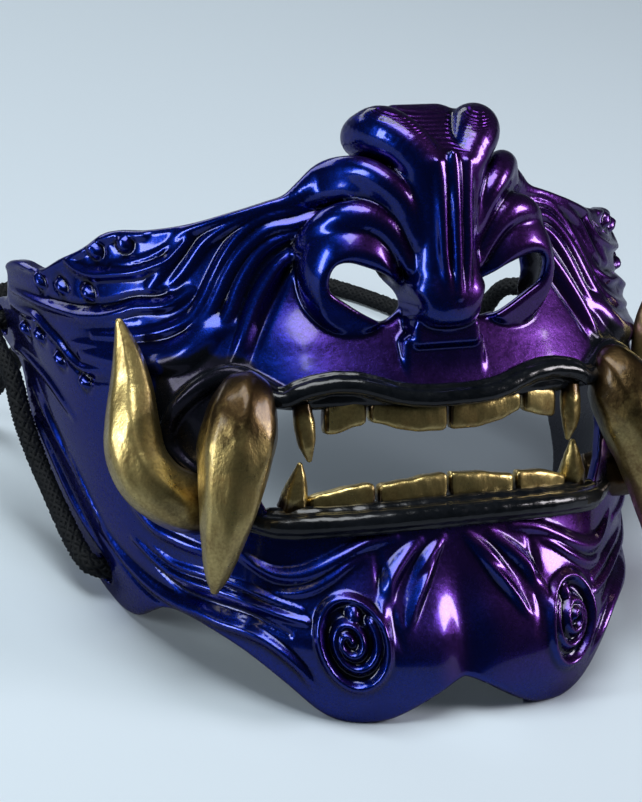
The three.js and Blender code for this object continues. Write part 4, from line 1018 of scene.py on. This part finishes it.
def wingDistance(p, inset):                  # the round side of the nose, cut flat round the nostril
    ball = ballDistance(p, wing["middle"], np.array(wing["size"]) - inset)
    flat = (p - np.array(wing["faceSpot"])) @ np.array(wing["faceWay"]) + inset
    return blendMax(ball, flat, 0.5)


# the black fold that wraps the root of each upper tusk, rows (turn, z, out, radius)
fold = [(25.5, 10.6, 0.6, 1.0), (30, 12.9, 0.8, 1.7), (34, 14.7, 1.0, 2.0), (38, 14.2, 1.0, 2.1),
        (42.5, 12.0, 1.0, 2.1), (47.5, 8.2, 0.8, 1.9), (50, 4.2, 0.6, 1.7), (50.8, 0.4, 0.4, 1.6),
        (49, -3, 0.2, 1.4), (46, -5.5, 0, 1.0)]
blackArea = [(29, 12, 0, 2.0), (34, 15, 0, 3.6), (40, 14.5, 0, 6.0), (46, 11, 0, 8.0), (49, 4, 0, 8.5),
             (49, -4, 0, 7.5), (44, -10, 0, 6.0), (37, -14.5, 0, 3.0)]


def rowsOnFace(rows):
    rows = np.array(rows, float)
    points = facePoint(rows[:, 0], rows[:, 1], rows[:, 2])
    return smoothPath(np.concatenate([points, rows[:, 3:]], 1), 4)


foldRods = rowsOnFace(fold)
blackRods = rowsOnFace(blackArea)


def hollowDistance(p, bare):                 # the room for the face; p already has x >= 0
    hollow = blendMin(bare + wall, noseDistance(p, wall), 1.0)
    return blendMin(hollow, wingDistance(p, wall), 1.0)


def maskField(p):
    p = np.array(p, float)
    p[:, 0] = np.abs(p[:, 0])
    bare, turn, arc = faceField(p)
    outer = bare - readMap(reliefMap, arc, p[:, 2])
    edge = readMap(edgeMap, arc, p[:, 2])
    shell = blendMax(outer, edge, 1.4)
    nose = noseDistance(p, 0.0)
    nose = blendMin(nose, ballDistance(p, noseTip["middle"], noseTip["size"]), 1.5)
    near = (p[:, 0] < 34) & (p[:, 2] > 10) & (p[:, 1] < 34)
    extra = np.full(len(p), 40.0)
    q = p[near]
    part = wingDistance(q, 0.0)
    part = blendMin(part, rodDistance(q, noseRods["knob"]), lobeBlend)
    brow = blendMin(rodDistance(q, noseRods["upper"]), rodDistance(q, noseRods["lower"]), browBlend)
    part = blendMin(blendMin(part, brow, lobeBlend), rodDistance(q, noseRods["roll"]), lobeBlend)
    for rows in ridgeRods:
        part = blendMin(part, rodDistance(q, rows), 0.6)
    for middle, size in philtrum:
        part = blendMin(part, boxDistance(q, middle, size, 1.4), 1.4)
    extra[near] = part
    nose = blendMin(nose, extra, 1.5)
    whole = blendMin(shell, nose, 1.1)
    whole = blendMin(whole, rodDistance(p, foldRods), 1.2)
    hollow = hollowDistance(p, bare)
    whole = blendMax(whole, -hollow, 0.8)
    whole = blendMax(whole, -readFront(mouthMap, p[:, 0], p[:, 2]) - np.maximum(p[:, 1] - 34, 0), 0.8)
    whole = blendMax(whole, -np.maximum(readFront(nostrilMap, p[:, 0], p[:, 2]), p[:, 1] - 30), 1.6)
    for hole in (jawHole, earHole):
        middle = facePoint(hole["turn"], hole["z"], -wall / 2)
        aside = np.hypot(p[:, 1] - middle[1], p[:, 2] - middle[2]) - hole["radius"]
        bore = np.maximum(aside, np.abs(p[:, 0] - middle[0]) - boreReach)
        whole = blendMax(whole, -bore, 0.9)
    floorHeight = -p[:, 1] * leanSin + p[:, 2] * leanCos + stand["footHeight"]
    return np.maximum(whole, -floorHeight)


blockSide = 8                # grid points along a block's side
blocksAtOnce = 900


def sampleField(field, low, high, step):     # values on a grid, worked out only near the surface
    n = blockSide
    blocks = [int(math.ceil((h - l) / step / n)) for l, h in zip(low, high)]
    axes = [l + step * np.arange(b * n) for l, b in zip(low, blocks)]
    middleAxes = [l + step * (n * np.arange(b) + (n - 1) / 2) for l, b in zip(low, blocks)]
    middles = np.stack(np.meshgrid(*middleAxes, indexing="ij"), -1)
    coarse = field(middles.reshape(-1, 3)).reshape(blocks)
    close = np.abs(coarse) < n * step * 0.87 + 2.5        # half a block's diagonal, and what the relief adds
    values = np.repeat(np.repeat(np.repeat(coarse, n, 0), n, 1), n, 2)
    cells = np.argwhere(close)
    offsets = np.stack(np.meshgrid(*[np.arange(n)] * 3, indexing="ij"), -1).reshape(-1, 3)
    for start in range(0, len(cells), blocksAtOnce):
        spots = (cells[start:start + blocksAtOnce, None] * n + offsets).reshape(-1, 3)
        points = np.stack([axes[k][spots[:, k]] for k in range(3)], -1)
        values[spots[:, 0], spots[:, 1], spots[:, 2]] = field(points)
    return values


def netSurface(values, low, step):           # one point per crossed cell, one quad per crossed edge
    inside = values < 0
    nx, ny, nz = values.shape
    count = np.zeros((nx - 1, ny - 1, nz - 1), np.int8)
    shifts = [(i, j, k) for i in (0, 1) for j in (0, 1) for k in (0, 1)]
    for i, j, k in shifts:
        count += inside[i:nx - 1 + i, j:ny - 1 + j, k:nz - 1 + k]
    active = (count > 0) & (count < 8)
    cells = np.argwhere(active)
    index = np.full(active.shape, -1, np.int64)
    index[active] = np.arange(len(cells))
    corner = np.stack([values[cells[:, 0] + i, cells[:, 1] + j, cells[:, 2] + k] for i, j, k in shifts], -1)
    total = np.zeros((len(cells), 3))
    hits = np.zeros(len(cells))
    for a in range(8):
        for b in range(a + 1, 8):
            gap = np.subtract(shifts[b], shifts[a])
            if np.abs(gap).sum() != 1:
                continue
            crossed = (corner[:, a] < 0) != (corner[:, b] < 0)
            t = corner[:, a] / np.where(crossed, corner[:, a] - corner[:, b], 1)
            total += np.where(crossed[:, None], np.array(shifts[a]) + t[:, None] * gap, 0)
            hits += crossed
    vertices = (cells + total / hits[:, None]) * step + np.array(low)
    faces = []
    for axis in range(3):
        first = [slice(None)] * 3
        second = [slice(None)] * 3
        first[axis], second[axis] = slice(0, -1), slice(1, None)
        one, two = inside[tuple(first)], inside[tuple(second)]
        for outward in (True, False):
            edges = np.argwhere((one & ~two) if outward else (~one & two))
            u, v = [k for k in range(3) if k != axis]
            keep = (edges[:, u] > 0) & (edges[:, v] > 0)
            keep &= (edges[:, u] < active.shape[u]) & (edges[:, v] < active.shape[v])
            edges = edges[keep]
            around = []
            for du, dv in ((0, 0), (-1, 0), (-1, -1), (0, -1)):
                spot = edges.copy()
                spot[:, u] += du
                spot[:, v] += dv
                around.append(index[spot[:, 0], spot[:, 1], spot[:, 2]])
            quad = np.stack(around, -1)
            flip = outward != (axis == 1)
            faces.append(quad if flip else quad[:, ::-1])
    return vertices, np.concatenate(faces)


def slopeOf(field, p, h):
    return np.stack([(field(p + d) - field(p - d)) / (2 * h) for d in h * np.eye(3)], -1)


def settle(field, p, reach, rounds=2):       # moves points onto the surface
    for _ in range(rounds):
        slope = slopeOf(field, p, 0.15)
        move = -field(p)[:, None] * slope / np.maximum((slope ** 2).sum(1, keepdims=True), 0.05)
        size = np.linalg.norm(move, axis=1, keepdims=True)
        p = p + move * np.minimum(1, reach / np.maximum(size, 1e-9))
    return p


def thinned(obj, ratio):                     # fewer faces where the surface is flat
    modifier = obj.modifiers.new("thin", "DECIMATE")
    modifier.ratio = ratio
    graph = bpy.context.evaluated_depsgraph_get()
    lean = bpy.data.meshes.new_from_object(obj.evaluated_get(graph))
    obj.modifiers.clear()
    old = obj.data
    obj.data = lean
    bpy.data.meshes.remove(old)
    return obj


def meshFromField(name, field, low, high, step, triangles, material):
    values = sampleField(field, low, high, step)
    vertices, faces = netSurface(values, low, step)
    print(name, "has", len(vertices), "points before thinning")
    obj = makeMesh(name, vertices, faces, material)
    if 2 * len(faces) > triangles:
        obj = thinned(obj, triangles / (2 * len(faces)))
    mesh = obj.data
    flat = np.empty(3 * len(mesh.vertices))
    mesh.vertices.foreach_get("co", flat)
    p = settle(field, flat.reshape(-1, 3), 0.5 * step)
    slope = slopeOf(field, p, 0.3)
    normals = turnToWorld(slope / np.linalg.norm(slope, axis=1, keepdims=True))
    world = toWorld(p)
    world[:, 2] = np.maximum(world[:, 2], 0)
    mesh.vertices.foreach_set("co", world.reshape(-1))
    mesh.polygons.foreach_set("use_smooth", [True] * len(mesh.polygons))
    mesh.update()
    mesh.normals_split_custom_set_from_vertices(normals.tolist())
    return obj, p


def addShade(obj, name, values):
    layer = obj.data.attributes.new(name, "FLOAT", "POINT")
    layer.data.foreach_set("value", np.asarray(values, np.float32))


# painted shade: how deep a point sits in a hollow, used to darken hollows in the paint
def paintedHollowShade(field, p, reach, gain):      # 1 in hollows, 0 on flats and ridges
    total = sum(field(p + d) + field(p - d) for d in reach * np.eye(3))
    curve = total / reach ** 2
    return np.clip(-curve * gain, 0, 1)


shellMesh = {
    "step": 0.55,     # millimetres between the grid's points
    "low": (-75.9, -13, -64),
    "high": (75.9, 109, 77),
    "triangles": 196000,
}
maskShell, shellPoints = meshFromField("maskShell", maskField, shellMesh["low"], shellMesh["high"],
                                       shellMesh["step"], shellMesh["triangles"], bodyPaint)
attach(maskShell, "root")
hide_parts("mask_shell")
# painted shade for the hollows of the face
addShade(maskShell, "hollow", paintedHollowShade(maskField, shellPoints, 1.3, 0.9))


def shellMarks(p):                           # where the lacquer is black, and where print layers show
    even = np.abs(p) * [1, 0, 0] + p * [0, 1, 1]
    ragged = 0.8 * np.sin(even[:, 0] * 0.9 + 1.7 * np.sin(even[:, 2] * 0.6)) + 0.5 * np.sin(even[:, 2] * 1.7)
    black = np.clip(0.5 - (rodDistance(even, blackRods) + ragged) / 1.6, 0, 1)
    black = np.maximum(black, np.clip(0.5 - (rodDistance(even, foldRods) - 0.6) / 0.9, 0, 1))
    black = np.maximum(black, np.clip(1.2 - np.abs(hollowDistance(even, faceField(even)[0])) / 0.6, 0, 1))
    slope = slopeOf(maskField, p, 0.3)
    upward = slope[:, 2] / np.linalg.norm(slope, axis=1)
    layers = np.clip((upward - 0.55) / 0.25, 0, 1) * np.clip((p[:, 2] - 60) / 3, 0, 1)
    return black, layers


black, layers = shellMarks(shellPoints)
addShade(maskShell, "black", black)
addShade(maskShell, "layers", layers)
print("shell made,", len(maskShell.data.polygons), "faces")

# lips: the rolled rim of the mouth and the gum behind it, rows (turn, z, out, radius)
upperLip = {
    "rim": [(-34, 14.8, 0.2, 0.8), (-30, 11.4, 0.9, 1.4), (-26.5, 9.9, 1.3, 1.8), (-23.5, 11.1, 1.5, 1.9),
            (-20, 12.1, 1.6, 1.9), (-16.5, 12.5, 1.6, 1.9), (-12.5, 12.0, 1.6, 1.9), (-9.3, 10.9, 1.6, 1.9),
            (-6.3, 9.8, 1.6, 1.9), (-3, 9.2, 1.6, 1.9), (0, 9.1, 1.6, 1.9), (3, 9.2, 1.6, 1.9),
            (6.3, 9.8, 1.6, 1.9), (9.3, 10.9, 1.6, 1.9), (12.5, 12.0, 1.6, 1.9), (16.5, 12.5, 1.6, 1.9),
            (20, 12.1, 1.6, 1.9), (23.5, 11.1, 1.5, 1.9), (26.5, 9.9, 1.3, 1.8), (30, 11.4, 0.9, 1.4),
            (34, 14.8, 0.2, 0.8)],
    "gum": [(-33, 10.2, -1.6, 1.7), (-24, 10.0, -1.6, 2.0), (-12, 10.2, -1.6, 2.0), (0, 9.2, -1.6, 2.0),
            (12, 10.2, -1.6, 2.0), (24, 10.0, -1.6, 2.0), (33, 10.2, -1.6, 1.7)],
    "crest": 2.0,            # height of the second, thin ridge above the rim
}
lowerLip = {
    "rim": [(-37, -15.0, 0.4, 1.2), (-30, -16.2, 1.2, 2.0), (-20, -15.8, 1.6, 2.2), (-10, -15.4, 1.6, 2.2),
            (0, -15.2, 1.6, 2.2), (10, -15.4, 1.6, 2.2), (20, -15.8, 1.6, 2.2), (30, -16.2, 1.2, 2.0),
            (37, -15.0, 0.4, 1.2)],
    "gum": [(-32, -14.4, -1.6, 1.7), (-20, -14.2, -1.6, 2.0), (0, -13.6, -1.6, 2.0),
            (20, -14.2, -1.6, 2.0), (32, -14.4, -1.6, 1.7)],
    "crest": -2.1,
}


lipMesh = {
    "step": 0.38,
    "triangles": 90000,
    "crestOut": -0.1,
    "crestThick": 0.42,
    "ripple": 0.07,
}


def rodOnFace(rows, lift=0.0, out=0.0, thick=1.0):
    rows = np.array(rows, float)
    points = facePoint(rows[:, 0], rows[:, 1] + lift, rows[:, 2] + out)
    return smoothPath(np.concatenate([points, rows[:, 3:] * thick], 1), 6)


def makeLip(name, facts, low, high):
    rim = rodOnFace(facts["rim"])
    gum = rodOnFace(facts["gum"])
    crest = rodOnFace(facts["rim"], facts["crest"], lipMesh["crestOut"], lipMesh["crestThick"])

    def lipField(p):
        ripple = np.sin(p[:, 0] * 0.9 + 1.3 * np.sin(p[:, 2] * 0.5)) * np.sin(p[:, 0] * 0.43 + 1)
        body = blendMin(rodDistance(p, rim), rodDistance(p, gum), 1.2)
        return blendMin(body, rodDistance(p, crest), 0.6) + lipMesh["ripple"] * ripple
    return meshFromField(name, lipField, low, high, lipMesh["step"], lipMesh["triangles"], lipPaint)[0]


upper = makeLip("upperLip", upperLip, (-46, -8, 5), (46, 32, 24))
lower = makeLip("lowerLip", lowerLip, (-48, -8, -22), (48, 34, -8))
for lip, node in ((upper, "upper_lip"), (lower, "lower_lip")):
    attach(lip, "root")
    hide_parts(node)
print("lips made")

# tusks and canines: rows (x, y, z, radius) down the middle of the mask's left ones
fangs = {
    "upper_tusk": {"rows": [(41.4, 11.2, 13.0, 3.4), (42.9, 8.4, 11.2, 6.2), (44.6, 6.2, 7.0, 7.7),
                            (46.6, 4.6, 1.2, 8.1), (48.3, 3.2, -5.6, 7.1), (49.7, 2.4, -12.6, 5.8),
                            (50.9, 2.6, -19.4, 4.2), (51.6, 3.6, -24.8, 2.6),
                            (51.8, 4.5, -27.9, 1.1)], "facets": 7, "dirt": 0.62},
    "lower_tusk": {"rows": [(41.0, 17.5, -13.6, 4.4), (46.0, 16.4, -13.4, 5.7), (53.2, 16.2, -11.8, 6.5),
                            (59.6, 17.4, -7.8, 6.6), (62.8, 19.8, -2.0, 6.4), (62.9, 22.4, 5.2, 5.9),
                            (62.3, 24.6, 12.6, 4.5), (62.6, 26.0, 19.2, 3.0),
                            (63.8, 26.8, 25.6, 0.9)], "facets": 7, "dirt": 0.48},
    "upper_canine": {"rows": [(31.4, 6.0, 9.0, 2.0), (31.2, 5.3, 5.0, 2.3), (30.9, 4.8, 1.0, 1.9),
                              (30.4, 4.7, -2.4, 0.7)], "facets": 5, "dirt": 0.35},
    "lower_canine": {"rows": [(32.9, 8.2, -13.2, 3.3), (32.6, 7.1, -10.0, 2.8), (32.3, 6.2, -6.6, 1.8),
                              (32.1, 5.8, -3.8, 0.7)], "facets": 5, "dirt": 0.35},
}
fangSides = 40


def pieceName(kind, word):                   # upper_tusk and left give UpperTuskLeft
    return kind.replace("_", " ").title().replace(" ", "") + word.title()


def makeFang(node, name, side, facts):
    rows = np.array(facts["rows"], float) * [1 if side > 0 else -1, 1, 1, 1]
    path = smoothPath(rows, 14)
    tip = path[-1]
    ahead = path[-1, :3] - path[-2, :3]
    ahead /= np.linalg.norm(ahead)
    cap = [np.append(tip[:3] + ahead * tip[3] * math.sin(a), tip[3] * math.cos(a)) for a in (0.5, 1.0, 1.4)]
    path = np.concatenate([path, cap])
    phase = 0.7 if side > 0 else 2.1

    def carved(t, a):                        # flats running down the tooth and a slow swell
        flats = 0.02 - 0.065 * np.abs(np.sin(facts["facets"] * a / 2 + phase + 0.9 * t))
        swell = 0.018 * np.sin(9 * t + phase + 2 * np.cos(a)) + 0.012 * np.sin(23 * t + 3 * np.sin(a + phase))
        swell = swell + 0.008 * np.sin(41 * t + 5 * np.sin(2 * a + phase))
        return 1 + flats + swell
    rings = tubeRings(path[:, :3], path[:, 3], fangSides, carved)
    obj = makeMesh(name, toWorld(rings.reshape(-1, 3)), ringFaces(len(path), fangSides), goldPaint)
    along = np.repeat(np.linspace(0, 1, len(path)), fangSides)
    addShade(obj, "root", np.clip(1.15 - along / facts["dirt"], 0, 1))
    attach(obj, "root")
    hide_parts(node)


for kind, facts in fangs.items():
    for side, word in ((-1, "right"), (1, "left")):
        makeFang(kind + "_" + word, pieceName(kind, word), side, facts)
print("tusks made")

# broad teeth: rows (x, root, edge) across the left half of each row of teeth
broadTeeth = {
    "upper_incisor": [(0.3, 8.4, 2.2), (4, 8.2, 1.9), (9, 8.0, 2.4), (14, 8.6, 3.8), (17.6, 9.0, 4.6)],
    "upper_side_tooth": [(18.4, 9.4, 4.4), (22, 9.6, 3.4), (25, 9.0, 2.6), (27.0, 8.6, 2.3)],
    "lower_incisor": [(0.3, -12.6, -7.0), (6, -12.6, -7.4), (12, -12.8, -8.2), (15.8, -13.0, -8.6)],
    "lower_side_tooth": [(16.6, -13.2, -8.2), (22, -13.4, -8.6), (27, -13.6, -9.8), (30.2, -13.6, -10.8)],
}
arch = {"depth": 70.0, "half": 68.0, "power": 2.4}
tooth = {
    "depth": 3.4,            # front to back
    "inset": 0.4,            # from the arch back to the tooth's front
    "points": 44,            # across
    "sides": 36,
    "square": 0.55,          # below 1 the outline gets flatter sides
    "roundOver": 1.3,        # length of the rounding at each end
    "leastEnd": 0.7,         # share of the full size that is left at the ends
    "cap": 0.62,             # the same for the very first and last ring
    "bulge": 0.22,
    "chipping": 0.8,
}


def archY(x):                                # front of the row of teeth at x
    return arch["depth"] * (1 - (1 - (np.abs(x) / arch["half"]) ** arch["power"]) ** (1 / arch["power"]))


def makeTooth(node, name, side, rows, seed):
    rows = np.array(rows, float)
    across = np.linspace(rows[0, 0], rows[-1, 0], tooth["points"])
    root = smoothRead(rows[:, 0], rows[:, 1], across)
    edge = smoothRead(rows[:, 0], rows[:, 2], across)
    rand = np.random.default_rng(seed)
    waves = [(rand.uniform(0.4, 1.5), rand.uniform(0, 6.28), rand.uniform(0.03, 0.11)) for _ in range(5)]
    edge = edge - tooth["chipping"] * sum(w * np.sin(f * across + p) for f, p, w in waves)
    angles = 2 * np.pi * (np.arange(tooth["sides"]) + 0.5) / tooth["sides"]
    c = np.sign(np.cos(angles)) * np.abs(np.cos(angles)) ** tooth["square"]
    s = np.sign(np.sin(angles)) * np.abs(np.sin(angles)) ** tooth["square"]
    span = rows[-1, 0] - rows[0, 0]
    halfDepth = tooth["depth"] / 2
    rings, roots = [], []
    for i, x in enumerate(across):
        fromEnd = min(x - rows[0, 0], rows[-1, 0] - x)
        rounding = math.sqrt(max(0.0, 1 - (1 - min(1, fromEnd / tooth["roundOver"])) ** 2))
        end = rounding * (1 - tooth["leastEnd"]) + tooth["leastEnd"]
        if i in (0, len(across) - 1):
            end = tooth["cap"]
        high = abs(root[i] - edge[i]) / 2
        bulge = tooth["bulge"] * math.sin(math.pi * (x - rows[0, 0]) / span)
        dent = 0.10 * np.sin(0.8 * x + 2 * s + seed) + 0.05 * np.sin(2.1 * x - 3 * s)
        carved = np.where(c < 0, -bulge + dent * 0.6, 0)
        y = archY(x) + tooth["inset"] + halfDepth + end * halfDepth * c + carved
        z = (root[i] + edge[i]) / 2 + end * high * s
        rings.append(np.stack([np.full(tooth["sides"], x), y, z], -1))
        nearRoot = np.clip(1 - np.abs(z - root[i]) / (0.75 * high), 0, 1)
        belowEdge = s * (1 if root[i] > edge[i] else -1) > -0.8
        atEnds = 0.7 if fromEnd < 0.7 else 0             # dirt lies at the root and at the ends
        roots.append(nearRoot * 0.8 + atEnds * belowEdge)
    rings = np.array(rings)
    if side < 0:
        rings[..., 0] *= -1
    faces = ringFaces(len(across), tooth["sides"])
    if side > 0:
        faces = [f[::-1] for f in faces]
    obj = makeMesh(name, toWorld(rings.reshape(-1, 3)), faces, goldPaint)
    addShade(obj, "root", np.array(roots).reshape(-1))
    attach(obj, "root")
    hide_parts(node)


for n, (kind, rows) in enumerate(broadTeeth.items()):
    for side, word in ((-1, "right"), (1, "left")):
        seed = 11 * n + (3 if side > 0 else 8)
        makeTooth(kind + "_" + word, pieceName(kind, word), side, rows, seed)
print("teeth made")

# floor and light
room = {
    "floor": (0.64, 0.73, 0.79, 1),
    # painted reflection: a darker floor colour that only the paint's mirror rays see
    "paintedReflection": (0.26, 0.29, 0.34, 1),      # the floor as the paint mirrors it
    "rough": 0.85,
    # painted shadow: a soft dark patch painted on the floor behind the mask, standing in for its shadow
    "paintedShadow": (0.09, 0.11, 0.13, 1),          # a soft dark patch behind the mask
    "paintedShadowMiddle": (0.045, 0.052, 0.0),
    "paintedShadowSize": (0.095, 0.066, 0.05),
    "paintedShadowShare": 0.95,
    "front": -0.19, "back": 0.9, "bend": 0.6, "top": 2.4,
    "sides": (-0.75, 1.1),
    "air": (0.40, 0.48, 0.56, 1),
    "airStrength": 0.05,                     # as light on the mask
    "airSeen": 0.95,                         # as the eye sees it past the floor
}


def makeFloor():                             # a floor that bends up into a backdrop
    material, tree, shader, link = newMaterial("paleFloor")
    place = addNode(tree, "ShaderNodeTexCoord")
    # painted shadow: the floor's colour darkens towards a soft patch behind the mask
    shadowPatch = addNode(tree, "ShaderNodeMapping", {"vector_type": "TEXTURE"},
                    {"Location": room["paintedShadowMiddle"], "Scale": room["paintedShadowSize"]})
    link(place.outputs["Object"], shadowPatch.inputs["Vector"])
    shadowFade = addNode(tree, "ShaderNodeTexGradient", {"gradient_type": "SPHERICAL"})
    link(shadowPatch.outputs["Vector"], shadowFade.inputs["Vector"])
    # painted reflection: rays mirrored by the paint see a darker floor than the eye does
    ray = addNode(tree, "ShaderNodeLightPath")
    pale = mixColour(tree, ray.outputs["Is Glossy Ray"], room["floor"], room["paintedReflection"])
    share = layOut(tree, shadowFade.outputs["Fac"], 0.0, room["paintedShadowShare"], 0.0, 0.6, smooth=True)
    link(mixColour(tree, share, pale, room["paintedShadow"]), shader.inputs["Base Color"])
    shader.inputs["Roughness"].default_value = room["rough"]
    back, bend = room["back"], room["bend"]
    profile = [(room["front"], 0.0), (back, 0.0)]
    for a in np.linspace(0.1, math.pi / 2, 12):
        profile.append((back + bend * math.sin(a), bend - bend * math.cos(a)))
    profile += [(back + bend, room["top"])]
    vertices = [(x, y, z) for y, z in profile for x in room["sides"]]
    faces = [(2 * i, 2 * i + 1, 2 * i + 3, 2 * i + 2) for i in range(len(profile) - 1)]
    makeMesh("paleFloor", vertices, faces, material)


def makeAir():
    world = bpy.data.worlds.new("softRoom")
    world.use_nodes = True
    tree = world.node_tree
    background = tree.nodes["Background"]
    background.inputs["Color"].default_value = room["air"]
    ray = addNode(tree, "ShaderNodeLightPath")
    strength = layOut(tree, ray.outputs["Is Camera Ray"], room["airStrength"], room["airSeen"])
    tree.links.new(strength, background.inputs["Strength"])
    bpy.context.scene.world = world


def addSoftbox(name, place, target, wide, high, power, colour):
    data = bpy.data.lights.new(name, "AREA")
    data.shape = "RECTANGLE"
    data.size, data.size_y = wide, high
    data.energy = power
    data.color = colour
    light = bpy.data.objects.new(name, data)
    light.location = place
    light.rotation_euler = (Vector(target) - Vector(place)).to_track_quat("-Z", "Y").to_euler()
    bpy.context.scene.collection.objects.link(light)


makeFloor()
makeAir()
addSoftbox("topBox", (-0.18, 0.02, 0.95), (-0.02, 0.10, 0.0), 0.80, 0.42, 7.4, (0.93, 0.97, 1.0))
addSoftbox("backBox", (-0.25, 0.95, 0.42), (0, 0, 0.08), 0.90, 0.22, 1.5, (0.92, 0.97, 1.0))
addSoftbox("leftBox", (-0.72, -0.08, 0.32), (0, -0.02, 0.05), 0.13, 0.42, 2.0, (0.92, 0.97, 1.0))
addSoftbox("rightBox", (0.66, -0.27, 0.38), (0.02, -0.02, 0.06), 0.24, 0.28, 3.0, (1.0, 0.95, 1.0))
bpy.context.scene.view_settings.view_transform = "Standard"
print("room lit")
